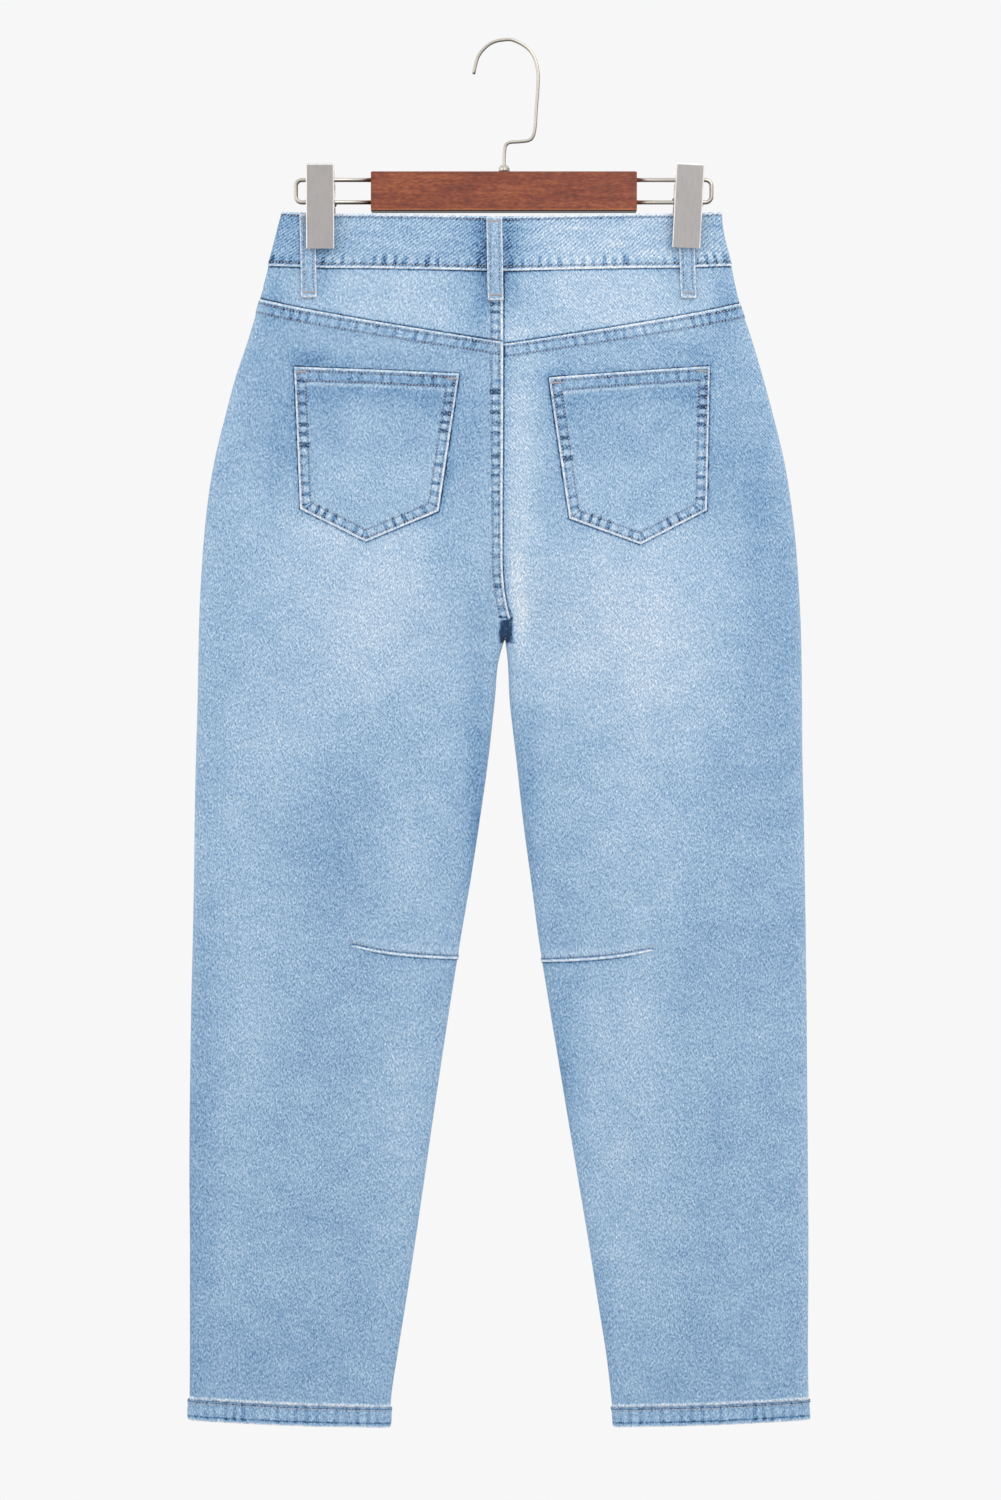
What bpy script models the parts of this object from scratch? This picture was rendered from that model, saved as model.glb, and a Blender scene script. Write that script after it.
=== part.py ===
"""Barrel-leg denim jeans hung by the waistband from a wooden bar hanger with two sliding clips.

Lengths in the tables are millimetres; the scene is in metres with +Z up. The origin is the inside
of the hook's crown. The seat side faces -Y. "drop" is the distance below the origin, "span" the
share of the way round a panel from the side seam (0) to the centre seam or inseam (1).
"""

import math

import bmesh
import bpy
import numpy as np
from mathutils import Matrix, Vector

MM = 0.001

# Driving dimensions
WALL = 1.2  # denim, with its weave and washed surface
BAND_WALL = 2.4  # waistband: two layers
HEM_WALL = 2.4  # hem: turned twice
SEAM_GAP = 0.3
RIDGE = 0.7  # how far a felled seam stands proud
CROTCH_START = 384.0
CROTCH = 496.0
FELL_WIDTH = 9.0
YOKE_FELL = 12.5
LOOP_WIDTH = 13.0
LOOP_WALL = 1.5
POCKET_WALL = 1.1
FLY_WIDTH = 38.0
FLY_DROP = 350.0
LAP = 18.0  # half the overlap of the waistband's ends
SAMPLES = 120

BAR_LENGTH = 220.4
BAR_DEPTH = 12.0
BAR_TOP = 107.9
BAR_BOTTOM = 141.1
WIRE_RADIUS = 1.75
WIRE_LEVELS = (114.0, 133.6)
HOOK_RADIUS = 1.4
CLIP_WIDTH = 23.0
CLIP_WALL = 0.9

# One row per level: drop, outer and inner edge of each leg as seen flat (the inner edge is the
# centre seam above the crotch), radius of the side fold, and how far the cloth bellies out.
DROP, LEFT_OUT, LEFT_IN, RIGHT_IN, RIGHT_OUT, FOLD, BELLY = range(7)
SECTIONS = np.array([
    (142, -185.0, -2.5, -2.5, 181.0, 3.6, 11.5),
    (185, -196.5, -2.5, -2.5, 189.0, 3.8, 12.5),
    (214, -204.0, -2.5, -2.5, 194.0, 4.4, 13.8),
    (247, -213.0, -2.5, -2.5, 205.0, 5.0, 15.4),
    (280, -223.0, -2.5, -2.5, 215.0, 5.6, 17.0),
    (314, -232.0, -2.5, -2.5, 224.0, 6.2, 18.0),
    (347, -240.0, -2.5, -2.5, 232.0, 6.6, 19.0),
    (380, -245.5, -2.5, -2.5, 237.5, 7.0, 19.5),
    (413, -249.0, -2.2, -2.2, 241.5, 7.4, 19.5),
    (446, -251.3, -1.4, -1.4, 244.0, 8.0, 19.0),
    (496, -253.3, 0.6, 0.6, 246.3, 9.0, 17.5),
    (512, -253.6, -4.0, 2.6, 246.6, 9.0, 17.2),
    (546, -254.2, -7.5, 4.4, 247.0, 8.8, 17.0),
    (596, -255.6, -13.0, 10.0, 247.4, 8.4, 17.0),
    (646, -256.6, -20.0, 15.5, 248.6, 8.0, 17.0),
    (695, -257.2, -27.5, 22.0, 249.4, 7.6, 17.0),
    (745, -258.2, -36.0, 28.6, 250.2, 7.4, 17.0),
    (795, -259.4, -44.0, 36.5, 250.8, 7.2, 16.5),
    (845, -260.2, -51.6, 44.8, 251.2, 7.0, 16.0),
    (895, -260.8, -59.0, 53.0, 251.6, 6.8, 15.0),
    (944, -261.0, -66.0, 61.2, 252.0, 6.6, 14.0),
    (994, -260.6, -73.3, 69.6, 252.4, 6.4, 12.5),
    (1044, -260.6, -81.0, 77.4, 252.2, 6.0, 11.0),
    (1094, -260.6, -89.0, 85.2, 252.0, 5.6, 9.0),
    (1120, -260.8, -93.0, 88.2, 252.4, 5.4, 8.0),
    (1150, -261.4, -95.2, 91.2, 253.4, 5.2, 7.5),
])

CROTCH_ROW = 10
# The centre seam's drops and x; it wanders to the right on its way to the crotch.
CENTRE_SEAM = ((142, 400, 430, 460, 496), (-2.5, -2.5, -2.1, -0.9, 0.6))

# Seam and edge lines: drop at the side and at the centre or inseam, of each half.
LINES = {
    "waist_top_back": ((142.0, 147.6), (142.0, 147.6)),
    "waist_top_front": ((142.0, 168.0), (142.0, 168.0)),
    "waist_bottom_back": ((186.8, 192.9), (186.8, 192.9)),
    "waist_bottom_front": ((186.8, 212.0), (186.8, 212.0)),
    "yoke": ((213.5, 251.4), (217.2, 253.2)),
    "scoop": ((262.0, 212.0), (262.0, 212.0)),
    "hem_top": ((1126.3, 1133.5), (1126.8, 1133.3)),
    "hem_bottom": ((1142.9, 1149.4), (1142.6, 1149.0)),
}
LINE_BEND = 0.88

# Drops at the side and at the centre of the leg rows between the seat and the knee.
SEAT_ROWS = ((250, 290), (287, 325), (325, 362), (362, 400), (398, 436))
CROTCH_ROWS = ((418, 451), (436, 466), (452, 478), (466, 487), (479, 492.4), (489, 495.1), (498, 496))
THIGH_ROWS = (507, 526, 555, 595, 640, 685, 725)
CALF_ROWS = (790, 835, 885, 940, 995, 1050, 1100)

# Knee darts in the back panels: drop at the tip and at the inseam, and the share where each starts.
DARTS = ((745.0, 761.0, 0.54), (748.6, 763.4, 0.52))
DART_STEPS = ((-6.0, 0.0), (-2.0, 0.25), (0.0, 1.0), (1.6, 0.0), (6.0, 0.0))

# Broad soft folds: half, face, x and drop of both ends, width and height (below zero is a trough).
FOLDS = (
    ("left", "back", -120, 560, -100, 900, 26, 1.6),
    ("left", "back", -200, 640, -190, 1020, 22, -1.4),
    ("right", "back", 104, 620, 112, 1080, 24, 2.0),
    ("right", "back", 190, 600, 200, 1000, 26, -1.6),
    ("right", "back", 55, 520, 80, 700, 22, 1.4),
    ("left", "front", -90, 540, -120, 980, 28, 1.8),
    ("left", "front", -190, 560, -200, 900, 24, -1.5),
    ("right", "front", 90, 560, 110, 1000, 28, 1.8),
    ("right", "front", 185, 600, 190, 940, 24, -1.5),
)

# Pinch of the waistband under each clip: x, top and bottom drop of the jaw, and its lean.
CLIPS = {"left": (-152.4, 102.0, 173.2, 0.0), "right": (152.4, 102.0, 173.4, 0.049)}

# Back pockets: x and drop of top left, top right, bottom right, tip and bottom left.
POCKETS = {
    "left": ((-173.4, 271.4), (-37.0, 278.2), (-54.0, 391.6), (-114.0, 416.6), (-168.2, 389.2)),
    "right": ((36.6, 281.4), (170.0, 270.8), (167.2, 390.2), (112.4, 418.8), (53.6, 397.6)),
}

# Belt loops: half, face, x at the top and at the bottom, drop at the top and at the bottom, and bow.
LOOPS = {
    "loop_centre_back": ("right", "back", -8.2, -7.0, 148.0, 217.5, 1.8),
    "loop_back_left": ("left", "back", -163.0, -161.4, 144.6, 213.8, 0.5),
    "loop_back_right": ("right", "back", 150.4, 152.6, 145.4, 214.4, 0.5),
    "loop_front_left": ("left", "front", -98.0, -98.0, 158.0, 224.0, 1.8),
    "loop_front_right": ("right", "front", 94.0, 94.0, 158.0, 224.0, 1.8),
}

# Hook centreline from the tip over the crown to the foot of the stem: x and drop.
HOOK = (
    (-25.4, 27.0), (-21.8, 13.2), (-15.2, 4.6), (-8.0, 0.2), (0.6, -1.4), (7.0, -1.2),
    (14.6, 2.2), (21.4, 7.6), (26.0, 16.0), (28.2, 27.0), (27.9, 40.0), (26.6, 57.0),
    (25.8, 70.0), (24.2, 78.2), (20.8, 82.0), (12.6, 83.2), (4.8, 83.8), (1.4, 86.2), (0.4, 91.0),
    (0.0, 98.0), (0.0, 121.0),
)

COLOURS = {
    "denim": (0.36, 0.52, 0.68, 0.0, 0.85),
    "wood": (0.28, 0.09, 0.05, 0.0, 0.45),
    "steel": (0.56, 0.54, 0.52, 1.0, 0.35),
}


def clear_scene():
    for thing in list(bpy.data.objects):
        bpy.data.objects.remove(thing, do_unlink=True)


def material(slot):
    found = bpy.data.materials.get(slot)
    if found:
        return found
    red, green, blue, metallic, roughness = COLOURS[slot]
    made = bpy.data.materials.new(slot)
    made.use_nodes = True
    shader = made.node_tree.nodes["Principled BSDF"]
    shader.inputs["Base Color"].default_value = (red, green, blue, 1.0)
    shader.inputs["Metallic"].default_value = metallic
    shader.inputs["Roughness"].default_value = roughness
    return made


def node_from(mesh, name, slot, smooth=True):
    """A finished object from a bmesh, its normals facing out."""
    bmesh.ops.recalc_face_normals(mesh, faces=mesh.faces)
    data = bpy.data.meshes.new(name)
    mesh.to_mesh(data)
    mesh.free()
    for face in data.polygons:
        face.use_smooth = smooth
    data.materials.append(material(slot))
    made = bpy.data.objects.new(name, data)
    bpy.context.scene.collection.objects.link(made)
    return made


# ---------------------------------------------------------------- the garment's skin


def smooth_row(column, drop, first=0):
    """A column of SECTIONS, from its row "first" on, read at each drop along a cubic."""
    rows = SECTIONS[first:, DROP]
    values = SECTIONS[first:, column]
    drop = np.clip(drop, rows[0], rows[-1])
    slopes = np.gradient(values, rows)
    at = np.clip(np.searchsorted(rows, drop) - 1, 0, len(rows) - 2)
    step = rows[at + 1] - rows[at]
    t = (drop - rows[at]) / step
    start = (2 * t**3 - 3 * t**2 + 1) * values[at] + (t**3 - 2 * t**2 + t) * step * slopes[at]
    end = (3 * t**2 - 2 * t**3) * values[at + 1] + (t**3 - t**2) * step * slopes[at + 1]
    return start + end


def ease(t):
    t = np.clip(t, 0.0, 1.0)
    return t * t * (3 - 2 * t)


def folds_at(half, face, x, drop):
    """Height of the broad folds at these points."""
    height = np.zeros_like(x)
    for side, way, x0, d0, x1, d1, width, rise in FOLDS:
        if (side, way) != (half, face):
            continue
        along = np.clip((drop - d0) / (d1 - d0), 0, 1)
        across = (x - (x0 + (x1 - x0) * along)) / width
        fade = np.sin(math.pi * along) ** 0.8
        height += rise * fade * np.exp(-across * across)
    return height


def pinch_at(x, drop):
    """Share of the belly that the clips leave."""
    left = 1.0
    for centre, _, bottom, _ in CLIPS.values():
        near = 0.9 * np.exp(-(((x - centre) / 24.0) ** 2))
        left = left - near * (1 - ease((drop - bottom) / 60.0))
    return np.clip(left, 0.0, 1.0)


def profiles(half, face, drop):
    """x, depth and arc length of dense section curves, a row for each drop."""
    outer = smooth_row(LEFT_OUT if half == "left" else RIGHT_OUT, drop)
    inseam = smooth_row(LEFT_IN if half == "left" else RIGHT_IN, drop, CROTCH_ROW)
    centre = np.interp(drop, CENTRE_SEAM[0], CENTRE_SEAM[1])
    inner = np.where(drop <= CROTCH, centre, inseam)
    fold = smooth_row(FOLD, drop)[:, None]
    belly = smooth_row(BELLY, drop)[:, None] * (1.05 if face == "back" else 0.95)
    q = np.clip((drop - CROTCH_START) / (CROTCH - CROTCH_START), 0, 1)[:, None]
    end = q * q * (2 - q)
    along = (1 - np.cos(math.pi * np.linspace(0, 1, SAMPLES)))[None, :] / 2
    xi = -1 + (1 + end) * along
    x = outer[:, None] + (inner - outer)[:, None] * along
    power = 2 * np.abs(inner - outer)[:, None] / (1 + end) / fold
    flat = np.clip(1 - np.abs(xi) ** power, 0, 1)
    swell = belly * np.clip(1 - xi * xi, 0, 1)
    swell = swell * pinch_at(x, drop[:, None])
    swell = swell + folds_at(half, face, x, drop[:, None] + 0 * x) * np.clip(1 - xi * xi, 0, 1) ** 0.5
    depth = np.sqrt(fold * fold * flat + swell * swell)
    step = np.hypot(np.diff(x, axis=1), np.diff(depth, axis=1))
    arc = np.concatenate([np.zeros((len(drop), 1)), np.cumsum(step, axis=1)], axis=1)
    return x, depth, arc


def place(half, face, x, depth, drop):
    """Points in metres, with half a seam gap left at the sides and the centre."""
    side = -1.0 if half == "left" else 1.0
    way = -1.0 if face == "back" else 1.0
    return np.stack([x + side * SEAM_GAP / 2, way * (depth + SEAM_GAP / 2), -drop], axis=-1) * MM


def skin(half, face, drop, span):
    """Outer points of the cloth at these drops and spans."""
    x, depth, arc = profiles(half, face, drop)
    want = span * arc[:, -1]
    rows = range(len(drop))
    xs = np.array([np.interp(want[i], arc[i], x[i]) for i in rows])
    ys = np.array([np.interp(want[i], arc[i], depth[i]) for i in rows])
    return place(half, face, xs, ys, drop)


def skin_at(half, face, x, drop):
    """Outer points of the cloth straight behind these x and drops."""
    xs, depth, _ = profiles(half, face, drop)
    sign = 1.0 if half == "left" else -1.0
    ys = np.array([np.interp(sign * x[i], sign * xs[i], depth[i]) for i in range(len(drop))])
    points = place(half, face, x, ys, drop)
    points[:, 0] = x * MM
    return points


def width_at(half, face, drop):
    """Length of the section curve from the side seam to the centre or inseam."""
    return profiles(half, face, np.array([float(drop)]))[2][0, -1]


def line_drop(name, half, span):
    side, centre = LINES[name][0 if half == "left" else 1]
    if name == "scoop":
        curve = ease((0.5 - span) / 0.5)
        waist = line_drop("waist_bottom_front", half, span)
        return waist + (side - waist) * curve
    return side + (centre - side) * span**LINE_BEND


# ---------------------------------------------------------------- walls from a grid of points


def grid_normals(points, ring):
    """Unit normals of a (rows, columns, 3) grid."""
    if ring:
        across = np.roll(points, -1, axis=1) - np.roll(points, 1, axis=1)
    else:
        across = np.gradient(points, axis=1)
    down = np.gradient(points, axis=0)
    normal = np.cross(across, down)
    return normal / np.linalg.norm(normal, axis=2, keepdims=True)


def wall(name, points, outward, inset, raised=0.0, ring=False, fix=None, slot="denim"):
    """A closed wall round a grid of points: its outer layer is moved out along the normal by
    "raised", its inner one in by "inset" (both mm). "outward" is a grid of rough directions."""
    normal = grid_normals(points, ring)
    flip = np.sign(np.sum(normal * outward, axis=2, keepdims=True))
    flip[flip == 0] = 1
    normal = normal * flip
    if fix is not None:
        normal = fix(normal)
        normal = normal / np.linalg.norm(normal, axis=2, keepdims=True)
    rows, columns = points.shape[:2]
    out = points + normal * (np.zeros((rows, columns)) + raised)[..., None] * MM
    back = points - normal * (np.zeros((rows, columns)) + inset)[..., None] * MM
    if fix is not None:
        out[:, -1, 0] = points[:, -1, 0]
    mesh = bmesh.new()
    front = [[mesh.verts.new(p) for p in row] for row in out]
    rear = [[mesh.verts.new(p) for p in row] for row in back]
    last = columns if ring else columns - 1
    for i in range(rows - 1):
        for j in range(last):
            k = (j + 1) % columns
            mesh.faces.new((front[i][j], front[i][k], front[i + 1][k], front[i + 1][j]))
            mesh.faces.new((rear[i + 1][j], rear[i + 1][k], rear[i][k], rear[i][j]))
    for j in range(last):
        k = (j + 1) % columns
        mesh.faces.new((front[0][j], rear[0][j], rear[0][k], front[0][k]))
        mesh.faces.new((front[-1][k], rear[-1][k], rear[-1][j], front[-1][j]))
    if not ring:
        for i in range(rows - 1):
            mesh.faces.new((front[i][0], front[i + 1][0], rear[i + 1][0], rear[i][0]))
            mesh.faces.new((rear[i][-1], rear[i + 1][-1], front[i + 1][-1], front[i][-1]))
    return node_from(mesh, name, slot)


def spans_of(half, face, drop, side_steps, middle, end_steps):
    """Shares of the columns: steps (mm) from the side, even ones, and steps (mm) from the end."""
    length = width_at(half, face, drop)
    low = [s / length for s in side_steps]
    high = [1 - s / length for s in end_steps]
    between = np.linspace(low[-1], high[0], middle + 2)[1:-1]
    return np.array(low + list(between) + high)


def seam_fix(half, closed):
    """Holds the wall's edges square at the seams; "closed" marks the rows below the crotch."""
    out = -1.0 if half == "left" else 1.0

    def fix(normal):
        normal[:, 0, 1] = 0.0
        normal[:, 0, 2] = 0.0
        below = np.asarray(closed)
        normal[below, -1, 1] = 0.0
        normal[below, -1, 2] = 0.0
        inward = normal[:, -1, 0] * -out
        normal[:, -1, 0] = np.where(inward < 0, 0.0, normal[:, -1, 0])
        return normal

    return fix


def outward_grid(points, half, face):
    """Rough outward directions of a half's skin: away from the middle plane and out at the side."""
    way = -1.0 if face == "back" else 1.0
    rough = np.zeros_like(points)
    rough[..., 1] = way
    out = -1.0 if half == "left" else 1.0
    rough[:, 0, 0] = out * 5
    rough[:, -1, 0] = -out * 0.01
    return rough


# ---------------------------------------------------------------- leg panels and yokes


def dart_drop(half, span, offset):
    tip, inseam, start = DARTS[0 if half == "left" else 1]
    return tip + (inseam - tip) * np.clip((span - start) / (1 - start), 0, 1) ** 0.8 + offset


def back_rows(half):
    """Row functions of a back leg: each gives drop from span, and its raise kind."""
    top = [("yoke", SEAM_GAP / 2), ("yoke", YOKE_FELL - 1.2), ("yoke", YOKE_FELL)]
    rows = [(kind, offset) for kind, offset in top]
    rows += [("pair", pair) for pair in SEAT_ROWS + CROTCH_ROWS]
    rows += [("level", drop) for drop in THIGH_ROWS]
    rows += [("dart", step) for step in DART_STEPS]
    rows += [("level", drop) for drop in CALF_ROWS]
    rows.append(("hem_top", -SEAM_GAP / 2))
    return rows


def row_drop(half, row, span):
    kind, value = row
    if kind == "pair":
        return value[0] + (value[1] - value[0]) * span**LINE_BEND
    if kind == "level":
        return value + 0.0 * span
    if kind == "dart":
        return dart_drop(half, span, value[0])
    return line_drop(kind, half, span) + value


def panel_grid(half, face, rows, side_steps, middle, end_steps):
    points = []
    spans = []
    drops = []
    for row in rows:
        centre = float(row_drop(half, row, np.array([0.8]))[0])
        span = spans_of(half, face, centre, side_steps, middle, end_steps)
        drop = row_drop(half, row, span)
        points.append(skin(half, face, drop, span))
        spans.append(span)
        drops.append(drop)
    return np.array(points), np.array(spans), np.array(drops)


def back_leg(half):
    rows = back_rows(half)
    felled = half == "left"
    end_steps = [14.0, FELL_WIDTH + 1.2, FELL_WIDTH, 5.0, 2.0, 0.0]
    if not felled:
        end_steps = [13.0, 8.0, 4.5, 2.0, 0.0]
    points, spans, drops = panel_grid(half, "back", rows, [0.0, 2.2, 5.0, 9.5, 16.0], 6, end_steps)
    raised = np.zeros(drops.shape)
    raised[:2] = RIDGE
    if felled:
        torso = drops[:, -1] <= CROTCH + 0.5
        raised[np.ix_(torso, range(drops.shape[1] - 4, drops.shape[1]))] = RIDGE
        low = [i for i in range(len(rows)) if 470 < drops[i, -1] <= CROTCH + 0.5]
        for i in low:
            raised[i, -4:] = RIDGE * (1 - 0.7 * ease((drops[i, -1] - 470) / 26.0))
    start = DARTS[0 if half == "left" else 1][2]
    for i, row in enumerate(rows):
        if row[0] == "dart":
            raised[i] = 1.1 * row[1][1] * ease((spans[i] - start) / 0.12)
    # The side fold stays plain, so that it meets the front panel flush.
    raised[:, 0] = 0.0
    closed = drops[:, -1] >= CROTCH - 0.01
    return wall("back_leg_" + half, points, outward_grid(points, half, "back"), WALL,
                raised, fix=seam_fix(half, closed))


def front_leg(half):
    rows = [("scoop", SEAM_GAP / 2), ("scoop", 9.0)]
    rows += [("pair", (drop[0] + 45, drop[1] + 8)) for drop in SEAT_ROWS[:4]]
    rows += [("pair", pair) for pair in ((428, 436),) + CROTCH_ROWS_FRONT]
    rows += [("level", drop) for drop in THIGH_ROWS[::2] + (740,) + CALF_ROWS[::2]]
    rows.append(("hem_top", -SEAM_GAP / 2))
    end_steps = [FLY_WIDTH + 1.2, FLY_WIDTH, 20.0, 9.0, 5.0, 2.0, 0.0]
    points, spans, drops = panel_grid(half, "front", rows, [0.0, 2.2, 5.0, 9.5, 16.0], 4, end_steps)
    raised = np.zeros(drops.shape)
    if half == "left":
        flap = drops[:, -1] < FLY_DROP
        raised[np.ix_(flap, range(drops.shape[1] - 6, drops.shape[1]))] = RIDGE
    closed = drops[:, -1] >= CROTCH - 0.01
    return wall("front_leg_" + half, points, outward_grid(points, half, "front"), WALL,
                raised, fix=seam_fix(half, closed))


CROTCH_ROWS_FRONT = ((446, 453), (460, 470), (474, 483), (484, 491.6), (492, 495.1), (498, 496))


def yoke(half):
    points = []
    for share in (0.0, 0.35, 0.7, 1.0):
        centre = float(yoke_drop(half, share, 0.8))
        span = spans_of(half, "back", centre, [0.0, 2.2, 5.0, 9.5, 16.0], 6, [12.0, 0.0])
        points.append(skin(half, "back", yoke_drop(half, share, span), span))
    points = np.array(points)
    closed = [False] * len(points)
    return wall("yoke_" + half, points, outward_grid(points, half, "back"), WALL,
                fix=seam_fix(half, closed))


def yoke_drop(half, share, span):
    upper = line_drop("waist_bottom_back", half, span) + SEAM_GAP / 2
    lower = line_drop("yoke", half, span) - SEAM_GAP / 2
    return upper + (lower - upper) * share


def pocket_facing(half):
    """The front hip pocket's facing, behind the panel's scoop and up to the waistband."""
    points = []
    for share in (0.0, 0.3, 0.6, 0.85, 1.0):
        drop0 = line_drop("waist_bottom_front", half, 0.3) + 60 * share
        low = [s / width_at(half, "front", drop0) for s in (0.0, 2.2, 5.0, 9.5, 16.0)]
        span = np.array(low + list(np.linspace(low[-1], 0.6, 6)[1:]))
        upper = line_drop("waist_bottom_front", half, span) + 0.8
        lower = line_drop("scoop", half, span) + 14.0
        points.append(skin(half, "front", upper + (lower - upper) * share, span))
    points = np.array(points)
    closed = [False] * len(points)
    behind = WALL + SEAM_GAP + 0.3
    return wall("pocket_facing_" + half, points, outward_grid(points, half, "front"),
                WALL + behind, -behind, fix=seam_fix(half, closed))


def fly_shield():
    """A strip behind the centre-front opening."""
    points = []
    for drop in (LINES["waist_bottom_front"][0][1] + 1.0, 250.0, 290.0, 330.0, 372.0):
        row = []
        for half, x in (("left", -24.0), ("left", -12.0), ("right", -1.0), ("right", 10.0), ("right", 20.0)):
            row.append(skin_at(half, "front", np.array([x]), np.array([drop]))[0])
        points.append(row)
    points = np.array(points)
    rough = np.zeros_like(points)
    rough[..., 1] = 1.0
    behind = WALL + SEAM_GAP + 0.5
    return wall("fly_shield", points, rough, WALL + behind, -behind)


# ---------------------------------------------------------------- waistband and hems


def band_columns():
    """Half, face and span of each column round the waistband, with the inset of its under end."""
    lap = LAP / width_at("left", "front", 165.0)
    stops = (1 - lap, 1 - lap / 2, 1.0)
    route = [("left", "front", s, 1.0) for s in stops[:2]]
    under = [(1.0, 1.0), (1 - lap, 1.0), (1 - 1.8 * lap, 0.0)]
    route += [("right", "front", s, depth) for s, depth in under]
    even = [0.72, 0.56, 0.42, 0.31, 0.23, 0.16, 0.10, 0.05, 0.022, 0.009, 0.0]
    route += [("right", "front", s, 0.0) for s in even]
    route += [("right", "back", s, 0.0) for s in even[::-1][1:] + [0.84, 1.0]]
    route += [("left", "back", s, 0.0) for s in [0.84] + even[:-1]]
    route += [("left", "front", s, 0.0) for s in even[::-1] + [0.84, 0.94, 1.0]]
    route += [("right", "front", s, 0.0) for s in (1 - lap / 2, 1 - lap)]
    return route


def waistband():
    route = band_columns()
    points = np.zeros((4, len(route), 3))
    shift = np.zeros((4, len(route)))
    rough = np.zeros_like(points)
    for j, (half, face, span, under) in enumerate(route):
        upper = line_drop("waist_top_" + face, half, np.array([span]))
        lower = line_drop("waist_bottom_" + face, half, np.array([span])) - SEAM_GAP / 2
        for i, share in enumerate((0.0, 0.35, 0.7, 1.0)):
            drop = upper + (lower - upper) * share
            points[i, j] = skin(half, face, drop, np.array([span]))[0]
            shift[i, j] = under * (BAND_WALL + RIDGE + SEAM_GAP)
        rough[:, j] = (0, -1 if face == "back" else 1, 0)
        if span < 0.005:
            rough[:, j] = (-1 if half == "left" else 1, 0, 0)
    return wall("waistband", points, rough, BAND_WALL + shift, RIDGE - shift)


def hem(half):
    spans = [0.0, 0.012, 0.03, 0.06, 0.12, 0.24, 0.37, 0.5, 0.63, 0.76, 0.88, 0.94, 0.97, 0.988]
    columns = [("back", s) for s in spans] + [("front", s) for s in [1.0] + spans[::-1][:-1]]
    points = np.zeros((4, len(columns), 3))
    rough = np.zeros_like(points)
    for j, (face, span) in enumerate(columns):
        upper = line_drop("hem_top", half, np.array([span])) + SEAM_GAP / 2
        lower = line_drop("hem_bottom", half, np.array([span]))
        for i, share in enumerate((0.0, 0.12, 0.55, 1.0)):
            points[i, j] = skin(half, face, upper + (lower - upper) * share, np.array([span]))[0]
            if span in (0.0, 1.0):
                points[i, j, 1] = 0.0
        rough[:, j] = (0, -1 if face == "back" else 1, 0)
        if span == 0.0:
            rough[:, j] = (-1 if half == "left" else 1, 0, 0)
        if span == 1.0:
            rough[:, j] = (1 if half == "left" else -1, 0, 0)
    raised = np.zeros((4, len(columns))) + np.array([1.5, 0.9, 0.9, 1.0])[:, None]
    return wall("hem_" + half, points, rough, HEM_WALL - 0.9, raised, ring=True)


# ---------------------------------------------------------------- patches: pockets and loops


def back_pocket(half):
    corners = [np.array(c, float) for c in POCKETS[half]]
    top_left, top_right, low_right, tip, low_left = corners
    fold = (tip[0] - low_left[0]) / (low_right[0] - low_left[0])
    across = sorted(list(np.linspace(0, 1, 9)) + [fold])
    down = (0.0, 0.06, 0.098, 0.112, 0.24, 0.38, 0.52, 0.66, 0.8, 0.92, 1.0)
    points = np.zeros((len(down), len(across), 3))
    raised = np.zeros((len(down), len(across)))
    lift = np.zeros((len(down), len(across)))
    for i, t in enumerate(down):
        for j, u in enumerate(across):
            upper = top_left + (top_right - top_left) * u
            if u <= fold:
                lower = low_left + (tip - low_left) * (u / fold)
            else:
                lower = tip + (low_right - tip) * ((u - fold) / (1 - fold))
            x, drop = upper + (lower - upper) * t
            points[i, j] = skin_at(half, "back", np.array([x]), np.array([drop]))[0]
            bow = 0.9 * math.sin(math.pi * u) * (1 - ease(t / 0.35))
            lift[i, j] = SEAM_GAP + 0.05 + bow
            raised[i, j] = lift[i, j] + POCKET_WALL + (0.5 if t < 0.1 else 0.0)
    rough = np.zeros_like(points)
    rough[..., 1] = -1
    return wall("back_pocket_" + half, points, rough, -lift, raised)


def belt_loop(name):
    half, face, x_top, x_low, top, bottom, bow = LOOPS[name]
    steps = np.array([0.0, 0.09, 0.1, 0.25, 0.4, 0.55, 0.7, 0.85, 0.9, 0.91, 1.0])
    rows = len(steps)
    points = np.zeros((rows, 3, 3))
    lift = np.zeros((rows, 3))
    raised = np.zeros((rows, 3))
    for i, t in enumerate(steps):
        drop = top + (bottom - top) * t
        middle = x_top + (x_low - x_top) * t
        near = half if face == "front" or "centre" not in name else None
        for j in range(3):
            x = middle + (j - 1) * LOOP_WIDTH / 2
            side = near or ("left" if x < -2.5 else "right")
            points[i, j] = skin_at(side, face, np.array([x]), np.array([drop]))[0]
        band = line_drop("waist_bottom_" + face, half, 0.9 if "centre" in name else 0.2)
        proud = RIDGE * (1 - ease((drop - band - 2) / 7.0))
        lift[i] = proud + SEAM_GAP + 0.3 + bow * math.sin(math.pi * t) ** 0.8
        raised[i] = lift[i] + LOOP_WALL + (0.8 if t < 0.095 or t > 0.905 else 0.0)
    rough = np.zeros_like(points)
    rough[..., 1] = -1 if face == "back" else 1
    return wall(name, points, rough, -lift, raised)


# ---------------------------------------------------------------- hanger


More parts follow.
